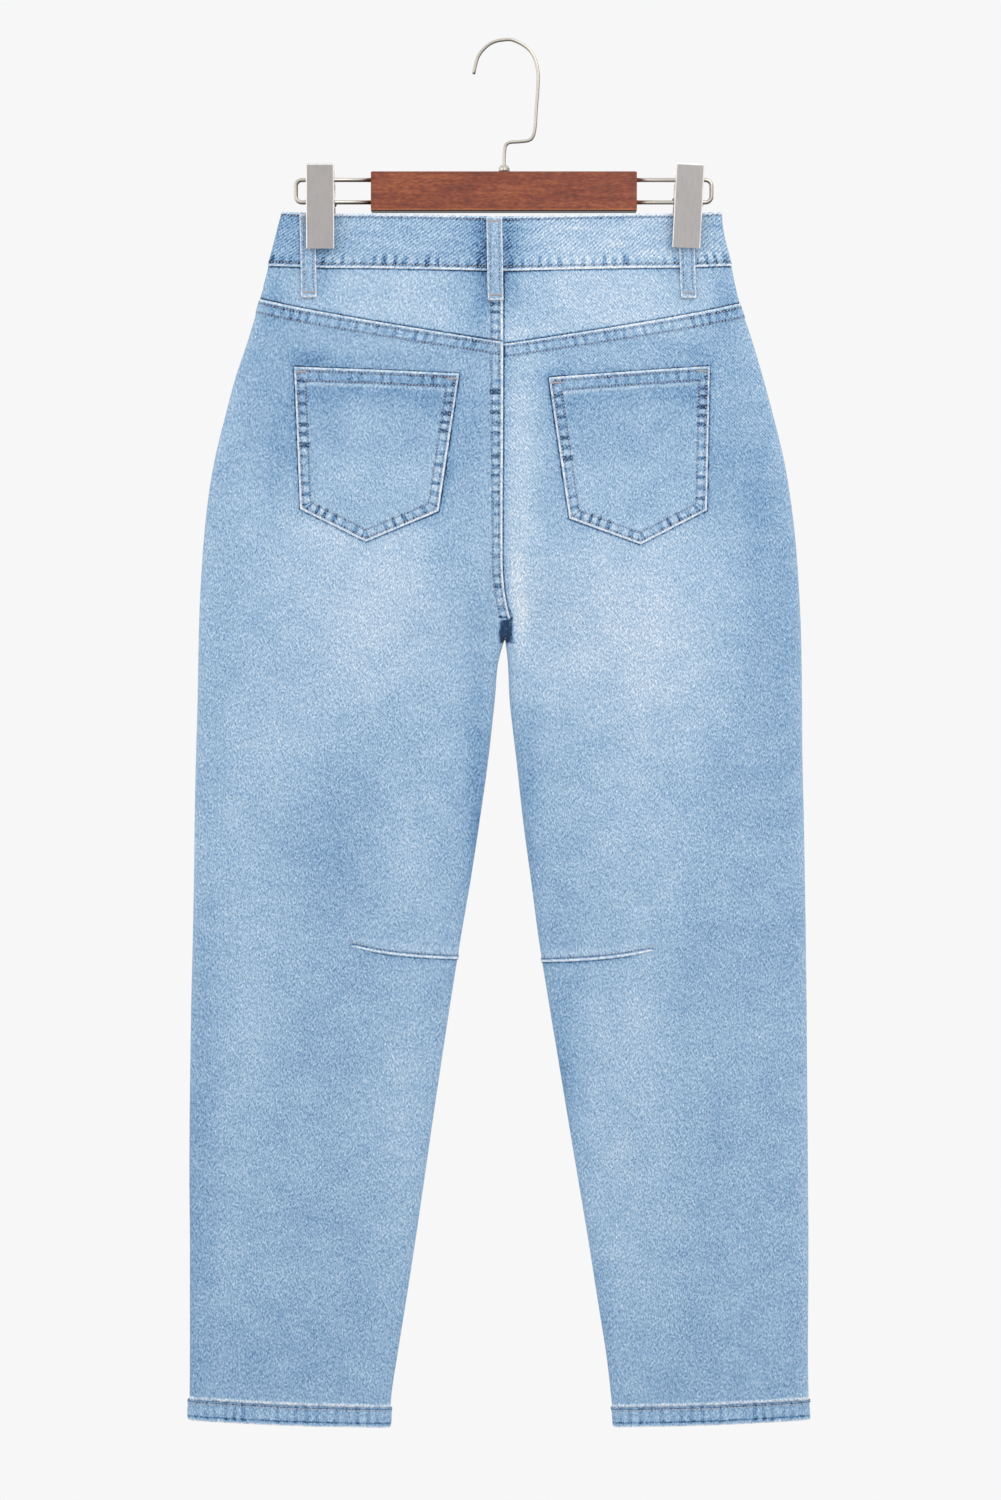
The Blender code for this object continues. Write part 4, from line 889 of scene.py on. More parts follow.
def front_leg(half, step):
    rows = levels("scoop", (SEAM_GAP / 2, 1.5, 9.0))
    rows += levels("pair", [(side + 45, centre + 8) for side, centre in SEAT_ROWS[:4]])
    rows += levels("pair", CROTCH_ROWS_FRONT) + levels("level", THIGH_ROWS[::2] + (740,) + CALF_ROWS[::2])
    rows += levels("hem_top", (-SEAM_GAP / 2,))
    end_steps = [FLY_WIDTH + 1.2, FLY_WIDTH, FLY_WIDTH - 1, 30.0, 24.0, 18.0] + fine_steps()[::-1]
    points, drops, from_side, from_end = panel(half, "front", rows, step, fine_steps(), int(190 / step), end_steps)
    span = from_side / (from_side + from_end)
    top = drops - line_drop("scoop", half, span)
    hem = line_drop("hem_top", half, span) - drops
    raised = np.zeros(drops.shape)
    folds, runs = [np.where(span < 0.6, top, FAR), hem * 0.5], [from_side] * 2
    # Painted shade below the waistband where it stands proud, and on the right half beside the centre, under the fly.
    shaded_gaps = [np.where(span < 0.6, FAR, top)]
    if half == "left":
        flap = fall(drops[:, -1:], FLY_DROP - 3, 6)
        raised = RIDGE * fall(from_end, FLY_WIDTH, 1.2) * flap
        folds.append(from_end + 200 * (1 - flap))
        runs.append(drops)
    else:
        shaded_gaps.append(from_end + 60 * ease((drops - 470) / 26))
    height = pucker(from_side, 21) * hump(top, 4, 8)
    height = height + pucker(drops, 22, 0.3, 12) * hump(from_side, 4, 9)
    height = height + pucker(drops, 23, 0.4) * hump(from_end, 5, 8)
    height = height + pucker(from_side, 24, 0.45, 9) * hump(hem, 2, 6)
    raised = (raised + height * guard(from_side, from_end)) * ease(from_side / 1.5)
    wash_and_shading = wash_and_painted_light_at("front", points[..., 0] / MM, drops) + 0.10 * hump(from_side, 0, 9)
    return cloth("front_leg_" + half, points, outward_of(points, half, "front"), raised, WALL, wash_and_shading, folds, runs, shaded_gaps,
                 uv_from=cut_plan(half, from_side, drops), pulls=(0.5, 0.0, 0.5),
                 seams=((3.3, 9.0, 9.0), (NO_ROW, NO_ROW, 4), (NO_ROW, NO_ROW, 12)))


def yoke(half, step):
    rows = levels("waist_bottom_back", (SEAM_GAP / 2, 1.2)) + levels("yoke", (-6.0, -2.0, -SEAM_GAP / 2))
    points, drops, from_side, from_end = panel(half, "back", rows, step, fine_steps(), int(180 / step),
                                               fine_steps()[::-1])
    span = from_side / (from_side + from_end)
    bottom = line_drop("yoke", half, span) - drops
    upper = drops - line_drop("waist_bottom_back", half, span)
    height = pucker(from_side, 31) * hump(bottom, 3, 7) + pucker(from_side, 32) * hump(upper, 3, 6)
    wash_and_shading = (0.15 if half == "left" else 0.19) + wash_and_painted_light_at("back", points[..., 0] / MM, drops)
    wash_and_shading = wash_and_shading - 0.14 * fall(from_side, 0, 34) + 0.10 * hump(from_side, 0, 9)
    # Painted shade along the yoke's lower edge and under the waistband, and on the right half beside the centre seam.
    folds, runs, shaded_gaps = [], [], [bottom, upper + 0.1]
    if half == "left":
        folds, runs = [from_end], [drops]
        height = height + RIDGE * fall(from_end, FELL_WIDTH + 1.2, 1.4) * ease(bottom / 4) * ease(upper / 4)
    else:
        shaded_gaps.append(from_end)
    return cloth("yoke_" + half, points, outward_of(points, half, "back"), height * guard(from_side, from_end), WALL,
                 wash_and_shading, folds, runs, shaded_gaps, uv_from=cut_plan(half, from_side, drops), pulls=(0.8,),
                 seams=((3.3, 9.4, 9.4),))


def pocket_facing(half):
    """The hip pocket's facing, behind the front panel's scoop."""
    points = []
    for share in np.linspace(0, 1, 20):
        width = width_at(half, "front", line_drop("waist_bottom_front", half, 0.3) + 60 * share)
        low = [s / width for s in (0.0, 1.0, 2.2, 5.0, 9.5, 16.0)]
        span = np.array(low + list(np.linspace(low[-1], 0.6, 28)[1:]))
        upper = line_drop("waist_bottom_front", half, span) + 0.8
        lower = line_drop("scoop", half, span) + 14.0
        points.append(skin(half, "front", upper + (lower - upper) * share, span))
    points = np.array(points)
    return cloth("pocket_facing_" + half, points, outward_of(points, half, "front"), -(WALL + SEAM_GAP + 0.3), WALL,
                 0.1, ())


def fly_shield():
    drops = np.linspace(LINES["waist_bottom_front"][0][1] + 1.0, 372.0, 50)
    points = np.array([skin_across("front", np.linspace(-24.0, 20.0, 14), drop) for drop in drops])
    return cloth("fly_shield", points, facing(points, "front"), -(WALL + SEAM_GAP + 0.5), WALL, 0.05, ())


def waistband():
    """One strip whose ends lap at the centre front."""
    lap = LAP / width_at("left", "front", 165.0)
    route = [("left", "front", 1 - lap + lap * t, 1.0) for t in np.linspace(0, 1, 8)]
    route += [("right", "front", 1 - lap * t, 1.0) for t in np.linspace(0, 1, 8)]
    route += [("right", "front", 1 - lap * (1 + t), 1 - ease(t)) for t in (0.25, 0.5, 0.75)]
    even, full = (np.concatenate([np.linspace(start, 0.08, count), [0.065], SIDE_SPANS[::-1]])
                  for start, count in ((1 - 2 * lap, 56), (1, 66)))
    for half, face, spans in (("right", "front", even), ("right", "front", [0.0]), ("right", "back", full[::-1]),
                              ("left", "back", full), ("left", "front", [0.0]), ("left", "front", full[::-1]),
                              ("right", "front", 1 - lap * np.linspace(0.125, 1, 8))):
        route += [(half, face, span, 0.0) for span in spans]
    shares = np.array([0.0, 0.02, 0.045] + list(np.linspace(0.1, 0.9, 13)) + [0.955, 0.98, 1.0])
    points = np.zeros((len(shares), len(route), 3))
    shift = np.zeros(points.shape[:2])
    rough = np.zeros_like(points)
    for j, (half, face, span, under) in enumerate(route):
        upper = line_drop("waist_top_" + face, half, np.array([span]))
        lower = line_drop("waist_bottom_" + face, half, np.array([span])) - SEAM_GAP / 2
        points[:, j] = skin(half, face, upper + (lower - upper) * shares, np.full(len(shares), span))
        shift[:, j] = under * (BAND_WALL + RIDGE + SEAM_GAP)
        rough[:, j] = (SIDE[half], 0, 0) if span < 0.005 else (0, WAY[face], 0)
    down = lengths(points, 0) / MM
    along = lengths(points, 1)[8:9] / MM + 0 * down
    up = down[-1] - down
    height = pucker(along, 41) * hump(down, 3, 5) + pucker(along, 42) * hump(up, 4, 5)
    x = points[..., 0] / MM
    wash_and_shading = 0.06 + 0.10 * ease((x + 60) / 160) - 0.07 * fall(x, -190, 90) + wash_and_painted_light_at("back", x, 200 + 0 * x)
    wash_and_shading = np.where(points[..., 1] > 0, 0.08, wash_and_shading)
    return cloth("waistband", points, rough, RIDGE - shift + height * 0.8, BAND_WALL, wash_and_shading, [down, up],
                 [along, along], (), "band", uv_from=np.stack([along, -down], axis=-1) * MM, pulls=(0.35, 0.8),
                 seams=((2.9, NO_ROW, 4), (3.4, NO_ROW, 10)))


def hem(half):
    spans = np.concatenate([[0.0], SIDE_SPANS, np.linspace(0.065, 0.935, 64),
                            [0.95, 0.962, 0.972, 0.98, 0.987, 0.992, 0.996]])
    columns = [("back", s) for s in spans] + [("front", s) for s in [1.0] + list(spans[::-1][:-1])]
    shares = np.array([0.0, 0.05, 0.1, 0.16, 0.25, 0.36, 0.48, 0.6, 0.72, 0.84, 0.93, 1.0])
    raise_at = np.interp(shares, [0, 0.1, 0.2, 0.9, 1.0], [1.5, 1.3, 0.9, 1.0, 0.8])
    points = np.zeros((len(shares), len(columns), 3))
    rough = np.zeros_like(points)
    for j, (face, span) in enumerate(columns):
        upper = line_drop("hem_top", half, np.array([span])) + SEAM_GAP / 2
        lower = line_drop("hem_bottom", half, np.array([span]))
        points[:, j] = skin(half, face, upper + (lower - upper) * shares, np.full(len(shares), span))
        rough[:, j] = (0, WAY[face], 0)
        if span in (0.0, 1.0):
            points[:, j, 1] = 0.0
            rough[:, j] = (SIDE[half] * (1 - 2 * span), 0, 0)
    along, down = lengths(points, 1) / MM, lengths(points, 0) / MM
    height = pucker(along, 51 + HALVES.index(half), 0.55, 9) * (np.sin(math.pi * shares) ** 0.5)[:, None]
    # Painted shade along the hem's top edge, where the leg meets the turned hem.
    return cloth("hem_" + half, points, rough, raise_at[:, None] + height, HEM_WALL, -0.02,
                 [down[-1] - down + 0.6, down * 1.6 + 3.0], [along, along], [down * 3.0 + 1.8], ring=True,
                 pulls=(0.4, 0.4), seams=((4.2, NO_ROW, 12), (4.4, NO_ROW, 12)))


def pocket_corners(half):
    return [np.array(corner, float) for corner in POCKETS[half]]


def pocket_tip(half):
    """Share of the pocket's width at which its tip lies."""
    _, _, low_right, tip, low_left = POCKETS[half]
    return (tip[0] - low_left[0]) / (low_right[0] - low_left[0])


def pocket_point(half, u, t):
    """x and drop at a share u across and t down a pocket."""
    top_left, top_right, low_right, tip, low_left = pocket_corners(half)
    fold = pocket_tip(half)
    upper = top_left + (top_right - top_left) * u
    if u <= fold:
        lower = low_left + (tip - low_left) * (u / fold)
    else:
        lower = tip + (low_right - tip) * ((u - fold) / (1 - fold))
    return upper + (lower - upper) * t


def pocket_edges(half, x, drop, sides=(1, 2, 3, 4)):
    """Distance in mm from the nearest of the pocket's chosen edges (0 is the top one), and the
    distance along them."""
    corners = pocket_corners(half)
    best, run, done = np.full(np.shape(x), FAR), np.zeros_like(x), 0.0
    for k in sides:
        a, b = corners[k], corners[(k + 1) % 5]
        along = (b - a) / np.linalg.norm(b - a)
        away = (x - a[0]) * -along[1] + (drop - a[1]) * along[0]
        run = np.where(away < best, (x - a[0]) * along[0] + (drop - a[1]) * along[1] + done, run)
        best = np.minimum(best, away)
        done += np.linalg.norm(b - a)
    return best, run


def pocket_lift(u, t):
    """Height of the pocket's face off the leg, in mm: it bows at the mouth, which is turned in."""
    bow = 0.9 * np.sin(math.pi * u) * fall(t, 0, 0.35)
    return SEAM_GAP + 0.05 + bow + POCKET_WALL + 0.5 * fall(t, 0.1, 0.014)


def back_pocket(half):
    across = np.unique(np.concatenate([np.linspace(0, 1, 72),
                                       [0.006, 0.012, 0.02, 0.98, 0.988, 0.994, pocket_tip(half)]]))
    down = np.unique(np.concatenate([np.linspace(0, 1, 66), [0.006, 0.012, 0.098, 0.106, 0.114, 0.99]]))
    spots = np.array([[pocket_point(half, u, t) for u in across] for t in down])
    points = np.array([skin_at(half, "back", row[:, 0], row[:, 1]) for row in spots])
    x, drop = spots[..., 0], spots[..., 1]
    outline, run = pocket_edges(half, x, drop)
    top = pocket_edges(half, x, drop, (0,))[0]
    seed = 61 + HALVES.index(half)
    height = pucker(x + drop, seed) * hump(outline, 5, 6) + pucker(x, seed + 5, 0.3) * hump(top, 6, 6)
    raised = pocket_lift(across[None, :] + 0 * x, down[:, None] + 0 * x) + height * ease(outline / 2) * 0.8
    wash_and_shading = -0.05 + 0.12 * ease((drop - 300) / 70) - 0.10 * hump(top, 18, 12) + 0.26 * hump(top, 13.6, 1.2)
    if half == "right":
        wash_and_shading = wash_and_shading + 0.10 * hump(x, 56, 26) * hump(drop, 288, 22)
    wash_and_shading = wash_and_shading + 0.08 * hump(x, x.mean(), 34) * hump(drop, 304, 18)
    return cloth("back_pocket_" + half, points, facing(points, "back"), raised, POCKET_WALL, wash_and_shading,
                 [outline * 1.15, top], [run, x], (), uv_from=np.stack([x, -drop], axis=-1) * MM, pulls=(1.0, 0.4),
                 seams=((3.2, 10.1, 10.6), (3.2, 11.0, 10.0)))


def loop_lift(name, t):
    """Height of a belt loop's face off the skin at a share t down it, in mm."""
    half, face, _, _, top, bottom, bow = LOOPS[name]
    band = line_drop("waist_bottom_" + face, half, 0.9 if "centre" in name else 0.2)
    proud = RIDGE * fall(top + (bottom - top) * t, band + 2, 7.0)
    turned = 0.8 * np.maximum(fall(t, 0.085, 0.012), ease((t - 0.903) / 0.012))
    return proud + SEAM_GAP + 0.3 + bow * np.sin(math.pi * t) ** 0.8 + LOOP_WALL + turned


def belt_loop(name):
    face, x_top, x_low, top, bottom = LOOPS[name][1:6]
    t = np.unique(np.concatenate([np.linspace(0, 1, 30), [0.085, 0.095, 0.905, 0.915]]))[:, None]
    across = LOOP_WIDTH / 13 * np.array([[-6.5, -6.0, -5.2, -4.2, -3, -1.5, 0, 1.5, 3, 4.2, 5.2, 6.0, 6.5]]) + 0 * t
    drops = top + (bottom - top) * t[:, 0]
    points = np.array([skin_across(face, row, drop) for row, drop in zip(x_top + (x_low - x_top) * t + across, drops)])
    raised = loop_lift(name, t) - 0.5 * np.clip((np.abs(across) - 5.2) / 1.3, 0, 1) ** 2
    down = t * (bottom - top) + 0 * across
    edge = LOOP_WIDTH / 2 - np.abs(across)
    return cloth(name, points, facing(points, face), raised, 1.3, 0.02,
                 [edge * 1.8, np.minimum(down, (bottom - top) - down)], [down, across], (),
                 uv_from=np.stack([across, -down], axis=-1) * MM, pulls=(0.2, 0.0),
                 seams=((5.2, NO_ROW, 6), (NO_ROW, NO_ROW, 4)))


# ---------------------------------------------------------------- stitching


def stitch_run(mesh, points, normals, pitch, length, thick):
    """Lays stitches along a path of points; each is a small rounded grain of thread."""
    step = np.linalg.norm(np.diff(points, axis=0), axis=1)
    arc = np.concatenate([[0], np.cumsum(step)]) / MM
    part = bmesh.new()

    def along_path(values, at):
        return np.array([np.interp(at, arc, values[:, c]) for c in range(3)])

    for k in range(int(arc[-1] / pitch)):
        at = (k + 0.5) * pitch
        here = along_path(points, at)
        ahead = along_path(points, at + 0.6) - here
        if np.linalg.norm(ahead) > 1e-9:
            grain(part, here, ahead, along_path(normals, at), length, thick)
    add_to(mesh, part)


def add_to(mesh, part):
    """Joins a finished part to the mesh; building it apart keeps long seams quick."""
    data = data_from(part, "part")
    mesh.from_mesh(data)
    bpy.data.meshes.remove(data)


def grain(mesh, here, along, out, length, thick):
    along = Vector(along).normalized()
    out = Vector(out).normalized()
    across = out.cross(along).normalized()
    out = along.cross(across)
    turn = Matrix((along * length / 2, across * thick / 2, out * thick / 2)).transposed() * MM
    matrix = Matrix.Translation(Vector(here)) @ turn.to_4x4()
    bmesh.ops.create_icosphere(mesh, subdivisions=1, radius=1.0, matrix=matrix)


def finished(name, mesh, key, *nodes, slot="steel"):
    """A smooth piece from a bmesh, put in place of the CAD nodes that it stands for."""
    bmesh.ops.recalc_face_normals(mesh, faces=mesh.faces)
    for face in mesh.faces:
        face.smooth = True
    data = data_from(mesh, name)
    data.materials.append(materials()[key])
    return stand_in(linked(name, data), slot, *nodes)


def rows_of_stitches():
    """All the top-stitching as (points, normals) paths."""
    paths = []
    spans = np.linspace(0.004, 0.996, 90)
    mouth = spans[spans < 0.6]
    for half in HALVES:
        for face in WAY:
            for line, offset in (("waist_top_", 2.9), ("waist_bottom_", -3.4)):
                keep = spans if face == "back" or half == "left" else spans[spans < 0.90]
                drop = line_drop(line + face, half, keep) + offset
                paths.append(on_skin(half, face, drop, keep, RIDGE + THREAD_LIFT))
            paths.append(on_skin(half, face, line_drop("hem_top", half, spans) + 1.5, spans, 1.55))
        for seam, scoop in ((3.3, 3.3), (10.6, 9.0)):
            paths.append(on_skin(half, "back", line_drop("yoke", half, spans) + seam, spans, RIDGE + THREAD_LIFT))
            paths.append(on_skin(half, "front", line_drop("scoop", half, mouth) + scoop, mouth, 0.15))
        start = DARTS[HALVES.index(half)][2]
        run = np.linspace(start + 0.04, 0.995, 60)
        paths.append(on_skin(half, "back", dart_drop(half, run, -3.2), run, 0.15 + 0.5 * ease((run - start) / 0.14)))
        for inset in (2.8, 8.8):
            inner = inset_outline(half, inset)
            paths.append(pocket_path(half, inner[1:] + inner[:1]))
        for inset in (3.2, 11.0):
            inner = inset_outline(half, inset)
            paths.append(pocket_path(half, [edge_point(half, inner, k) for k in (0, 1)]))
    drops = np.linspace(LINES["waist_bottom_back"][0][1] + 2, 478.5, 140)
    for offset in seat_rows(drops):
        span = np.array([1 - o / width_at("left", "back", d) for o, d in zip(offset, drops)])
        proud = RIDGE * (1 - 0.7 * ease((drops - 470) / 26.0)) + THREAD_LIFT
        paths.append(on_skin("left", "back", drops, span, proud))
    drops = np.linspace(LINES["waist_bottom_front"][0][1] + 2, FLY_DROP, 90)
    for inset in (32.0, 27.0):
        bend = inset * np.sqrt(np.clip(1 - ease((drops - FLY_DROP + 60) / 62) ** 2, 0.0, 1))
        span = np.array([1 - max(b, 1.5) / width_at("left", "front", d) for b, d in zip(bend, drops)])
        paths.append(on_skin("left", "front", drops, span, RIDGE + 0.15))
    t = np.linspace(0.02, 0.98, 40)
    for name, (_, face, x_top, x_low, top, bottom, _) in LOOPS.items():
        for offset in (-3.6, 3.6):
            x = x_top + (x_low - x_top) * t + offset
            paths.append(on_skin_x(half_of(x[0]), face, x, top + (bottom - top) * t, loop_lift(name, t) + THREAD_LIFT))
    return paths


def inset_outline(half, inset):
    """The pocket's corners moved in by inset (mm)."""
    points = pocket_corners(half)
    inner = []
    for k, here in enumerate(points):
        sides = here - points[k - 1], points[(k + 1) % 5] - here
        one, two = (np.array((-side[1], side[0])) / np.linalg.norm(side) for side in sides)
        inner.append(here + (one + two) * inset / (1 + one @ two))
    return inner


def edge_point(half, inner, k):
    """Where an inset top edge meets the pocket's side, pulled in a little."""
    along = inner[k] - inner[1 - k]
    near = np.linalg.norm(inner[k] - pocket_corners(half)[k]) <= 4
    return inner[k] if near else inner[k] + along / np.linalg.norm(along) * 0.8


def pocket_path(half, route):
    spots = []
    for a, b in zip(route, route[1:]):
        count = max(2, int(np.linalg.norm(b - a) / 2.5))
        spots += [a + (b - a) * k / count for k in range(count)]
    x, drop = np.array(spots + [route[-1]]).T
    top_left, top_right = pocket_corners(half)[:2]
    t = np.clip(pocket_edges(half, x, drop, (0,))[0] / POCKET_DEPTH, 0, 1)
    u = np.clip((x - top_left[0]) / (top_right[0] - top_left[0]), 0, 1)
    return on_skin_x(half, "back", x, drop, pocket_lift(u, t) + THREAD_LIFT)


def tacks():
    """Bar tacks as (half, face, x, drop, direction, length, lift)."""
    rows = []
    for half in POCKETS:
        for (x, drop), way in zip(pocket_corners(half), (1, -1)):
            rows.append((half, "back", x + way * 6.0, drop + 4.2, (1.0, 0.0), 9.5, POCKET_WALL + 1.15))
    for name, (_, face, x_top, x_low, top, bottom, _) in LOOPS.items():
        for t, x in ((0.06, x_top), (0.94, x_low)):
            lift = float(loop_lift(name, t)) + THREAD_LIFT + 0.1
            rows.append((half_of(x_top), face, x, top + (bottom - top) * t, (1.0, 0.0), 10.5, lift))
    rows.append(("left", "front", -12.0, 322.0, (1.0, 1.0), 9.0, RIDGE + 0.2))
    rows.append(("left", "front", -6.0, FLY_DROP + 2, (0.0, 1.0), 9.0, 0.3))
    return rows


def bar_tack(mesh, half, face, x, drop, way, length, lift, count=15):
    """A tack: short threads side by side, leaning to and fro."""
    way = np.array(way) / np.hypot(*way)
    part = bmesh.new()
    for k in range(count):
        spot = np.array((x, drop)) + way * ((k + 0.5) / count - 0.5) * length
        cross = np.array((-way[1], way[0])) + way * (0.35 if k % 2 else -0.35)
        point, normal = on_skin_x(half, face, [spot[0]], [spot[1]], lift)
        grain(part, point[0], (cross[0], 0, -cross[1]), normal[0], 2.6, 0.7)
    add_to(mesh, part)


# ---------------------------------------------------------------- hanger metal


# Hook centreline from the tip over the crown to the foot of the stem: x and drop.
HOOK = (
    (-25.4, 27.0), (-21.8, 13.2), (-15.2, 4.6), (-8.0, 0.2), (0.6, -1.4), (7.0, -1.2),
    (14.6, 2.2), (21.4, 7.6), (26.0, 16.0), (28.2, 27.0), (27.9, 40.0), (26.6, 57.0),
    (25.8, 70.0), (24.2, 78.2), (20.8, 82.0), (12.6, 83.2), (4.8, 83.8), (1.4, 86.2), (0.4, 91.0),
    (0.0, 98.0), (0.0, 121.0),
)
HOOK_RADIUS = 1.4
WIRE_RADIUS = 1.75

# Drops of both wires, size of the bar, and how the wires turn and end; clips and springs.
WIRE_LEVELS = (115.0, 133.6)
BAR_LENGTH = 220.4
BAR_DEPTH = 12.0
BAR_LEVELS = (108.7, 141.6)
WIRE_BEND = 5.0
WIRE_IN_BAR = 14.0
WIRE_REACH = {"left": 172.8, "right": 172.0}
SPRING_TURNS, SPRING_STEPS = 9, 16
SPRING_LENGTH, SPRING_RADIUS, SPRING_WIRE = 25.2, 3.1, 0.7
CLIP_WIDTH = 23.4
CLIP_WALL = 0.9
CLIP_SPREAD = 5.0


def tube(mesh, path, radius, sides=18, coiled=False):
    """A round wire along a path in mm, from created circles joined ring to ring."""
    rings = []
    across = Vector((0, 1, 0))
    for i, point in enumerate(path):
        ahead = (Vector(path[min(i + 1, len(path) - 1)]) - Vector(path[max(i - 1, 0)])).normalized()
        if coiled:
            turn = ahead.to_track_quat("Z", "Y").to_matrix()
        else:
            turn = Matrix((across, ahead.cross(across).normalized(), ahead)).transposed()
        matrix = Matrix.Translation(Vector(point) * MM) @ turn.to_4x4()
        made = bmesh.ops.create_circle(mesh, segments=sides, radius=radius * MM, matrix=matrix)
        rings.append(made["verts"])
    for first, second in zip(rings, rings[1:]):
        for k in range(sides):
            n = (k + 1) % sides
            mesh.faces.new((first[k], first[n], second[n], second[k]))
    mesh.faces.new(rings[0])
    mesh.faces.new(rings[-1])


def smooth_path(points, steps=6):
    """A Catmull-Rom curve through the points."""
    points = [np.array(p, float) for p in points]
    full = [2 * points[0] - points[1]] + points + [2 * points[-1] - points[-2]]
    path = []
    for a, b, c, d in zip(full, full[1:], full[2:], full[3:]):
        for k in range(steps):
            t = k / steps
            path.append(0.5 * (2 * b + (c - a) * t + (2 * a - 5 * b + 4 * c - d) * t * t
                               + (3 * b - a - 3 * c + d) * t**3))
    return path + [points[-1]]


def arc(centre, radius, start, stop, steps=8):
    """Points of an arc in the hanger's plane, degrees from +X towards +Z."""
    turns = [math.radians(start + (stop - start) * k / steps) for k in range(steps + 1)]
    return [(centre[0] + radius * math.cos(a), 0.0, centre[1] + radius * math.sin(a)) for a in turns]


def hanger_wire(half):
    """The wire that leaves the bar's end, turns at its tip and comes back below."""
    inner = BAR_LENGTH / 2 - WIRE_IN_BAR
    outer = WIRE_REACH[half]
    bend = WIRE_BEND
    upper, lower = -WIRE_LEVELS[0], -WIRE_LEVELS[1]
    path = [(inner, 0.0, upper), (outer - bend - 1, 0.0, upper)]
    path += arc((outer - bend, upper - bend), bend, 90, 0) + arc((outer - bend, lower + bend), bend, 0, -90)
    path += [(outer - bend - 1, 0.0, lower), (inner, 0.0, lower)]
    mesh = bmesh.new()
    tube(mesh, [(SIDE[half] * x, y, z) for x, y, z in path], WIRE_RADIUS)
    return finished("bent_wire_" + half, mesh, "wire", "hanger_wire_" + half)


def hanger_bar():
    """The planed bar: a created cube sized, its long edges eased."""
    mesh = bmesh.new()
    size = Vector((BAR_LENGTH, BAR_DEPTH, BAR_LEVELS[1] - BAR_LEVELS[0])) * MM
    middle = Vector((-0.2 * MM, 0, -sum(BAR_LEVELS) / 2 * MM))
    bmesh.ops.create_cube(mesh, size=1.0, matrix=Matrix.Translation(middle) @ Matrix.Diagonal(size.to_4d()))
    bmesh.ops.bevel(mesh, geom=mesh.edges[:], offset=1.1 * MM, affect="EDGES", segments=3, profile=0.5, material=-1)
    finished("planed_bar", mesh, "wood", "hanger_bar", slot="wood").data.shade_flat()


def grip_depth(face, x):
    """Depth of the outermost cloth or loop under a jaw."""
    reach = CLIP_WIDTH / 2 + 3
    depths = [abs(skin_at(half_of(x), face, np.array([x + offset]), np.array([drop]))[0][1]) / MM
              for drop in (146.0, 155.0, 165.0, 172.0) for offset in (-reach, 0.0, reach)]
    proud = RIDGE + SEAM_GAP + 0.3
    return max(depths) + proud + (SEAM_GAP + 0.3 + LOOP_WALL + 1.3 if face == "back" else 0.0)


def clip_jaw(half, face):
    """A pressed steel jaw: a flat plate with its sides folded in towards the spring."""
    x0, top, bottom, lean = CLIPS[half]
    way = WAY[face]
    grip = grip_depth(face, x0)
    w = CLIP_WIDTH / 2
    # Across the plate: offset, how far the metal is folded back, share of the flange, brightness of the painted rim
    # highlight.
    fold = [(-w, 1.0, 1.0, 1.0), (-w, 1.0, 0.5, 1.0), (-w, 0.9, 0.0, 1.0), (-w + 0.12, 0.45, 0, 1.0),
            (-w + 0.4, 0.12, 0, 1.0), (-w + 0.8, 0.0, 0, 0.9), (-w + 1.1, 0.0, 0, 0.0)]
    columns = fold + [(x, 0.0, 0.0, 0.0) for x in np.linspace(-w + 2.2, w - 2.2, 10)]
    columns += [(-x, back, share, rim) for x, back, share, rim in fold[::-1]]
    drops = [top, top + 0.5, top + 1.0, top + 1.5] + list(np.linspace(top + 3, bottom - 2, 26)) + [bottom - 0.8, bottom]
    points = np.zeros((len(drops), len(columns), 3))
    rims = np.zeros(points.shape[:2])
    turn = Matrix.Rotation(lean, 3, "Y")
    pivot = Vector((x0, 0, -WIRE_LEVELS[1]))
    for i, drop in enumerate(drops):
        plate = grip + 0.6 + CLIP_WALL + CLIP_SPREAD * (bottom - drop) / (bottom - top)
        reach = 2.6 + (plate - 7.2) * ease((drop - 124) / 5) * fall(drop, 136, 4)
        reach = reach * fall(drop, 138, 8) + 1.2 * ease((drop - 138) / 8)
        for j, (offset, back, share, rim) in enumerate(columns):
            depth = plate - back - share * max(reach - 1.0, 0.1)
            spot = turn @ (Vector((x0 + offset, way * depth, -drop)) - pivot) + pivot
            points[i, j] = np.array(spot) * MM
            # Painted highlight along the folded sides and along the top and bottom edges.
            rims[i, j] = max(rim, 1.0 if drop < top + 1.2 else 0.0, 0.6 if drop > bottom - 0.6 else 0.0)
    rough = facing(points, face)
    rough[:, :3] = (-1, way * 0.2, 0)
    rough[:, -3:] = (1, way * 0.2, 0)
    made = grid_object(f"jaw_{face}_{half}", points, grid_normals(points, rough), CLIP_WALL, materials()["clip"],
                       points[..., [0, 2]], {"rim": rims})
    return stand_in(made, "steel", f"clip_{face}_{half}")


def spring(half):
    """The coil on the lower wire that both jaws bear on."""
    path = []
    for k in range(SPRING_TURNS * SPRING_STEPS + 1):
        a = 2 * math.pi * k / SPRING_STEPS
        x = CLIPS[half][0] + SPRING_LENGTH * (k / (SPRING_TURNS * SPRING_STEPS) - 0.5)
        path.append((x, SPRING_RADIUS * math.cos(a), SPRING_RADIUS * math.sin(a) - WIRE_LEVELS[1]))
    mesh = bmesh.new()
    tube(mesh, path, SPRING_WIRE, 8, coiled=True)
    return finished("spring_coil_" + half, mesh, "dark", "clip_spring_" + half)


def put_material(name, key):
    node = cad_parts[name]
    if node.material_slots:
        for held in node.material_slots:
            held.material = materials()[key]
    else:
        node.data.materials.append(materials()[key])


# ---------------------------------------------------------------- add-on


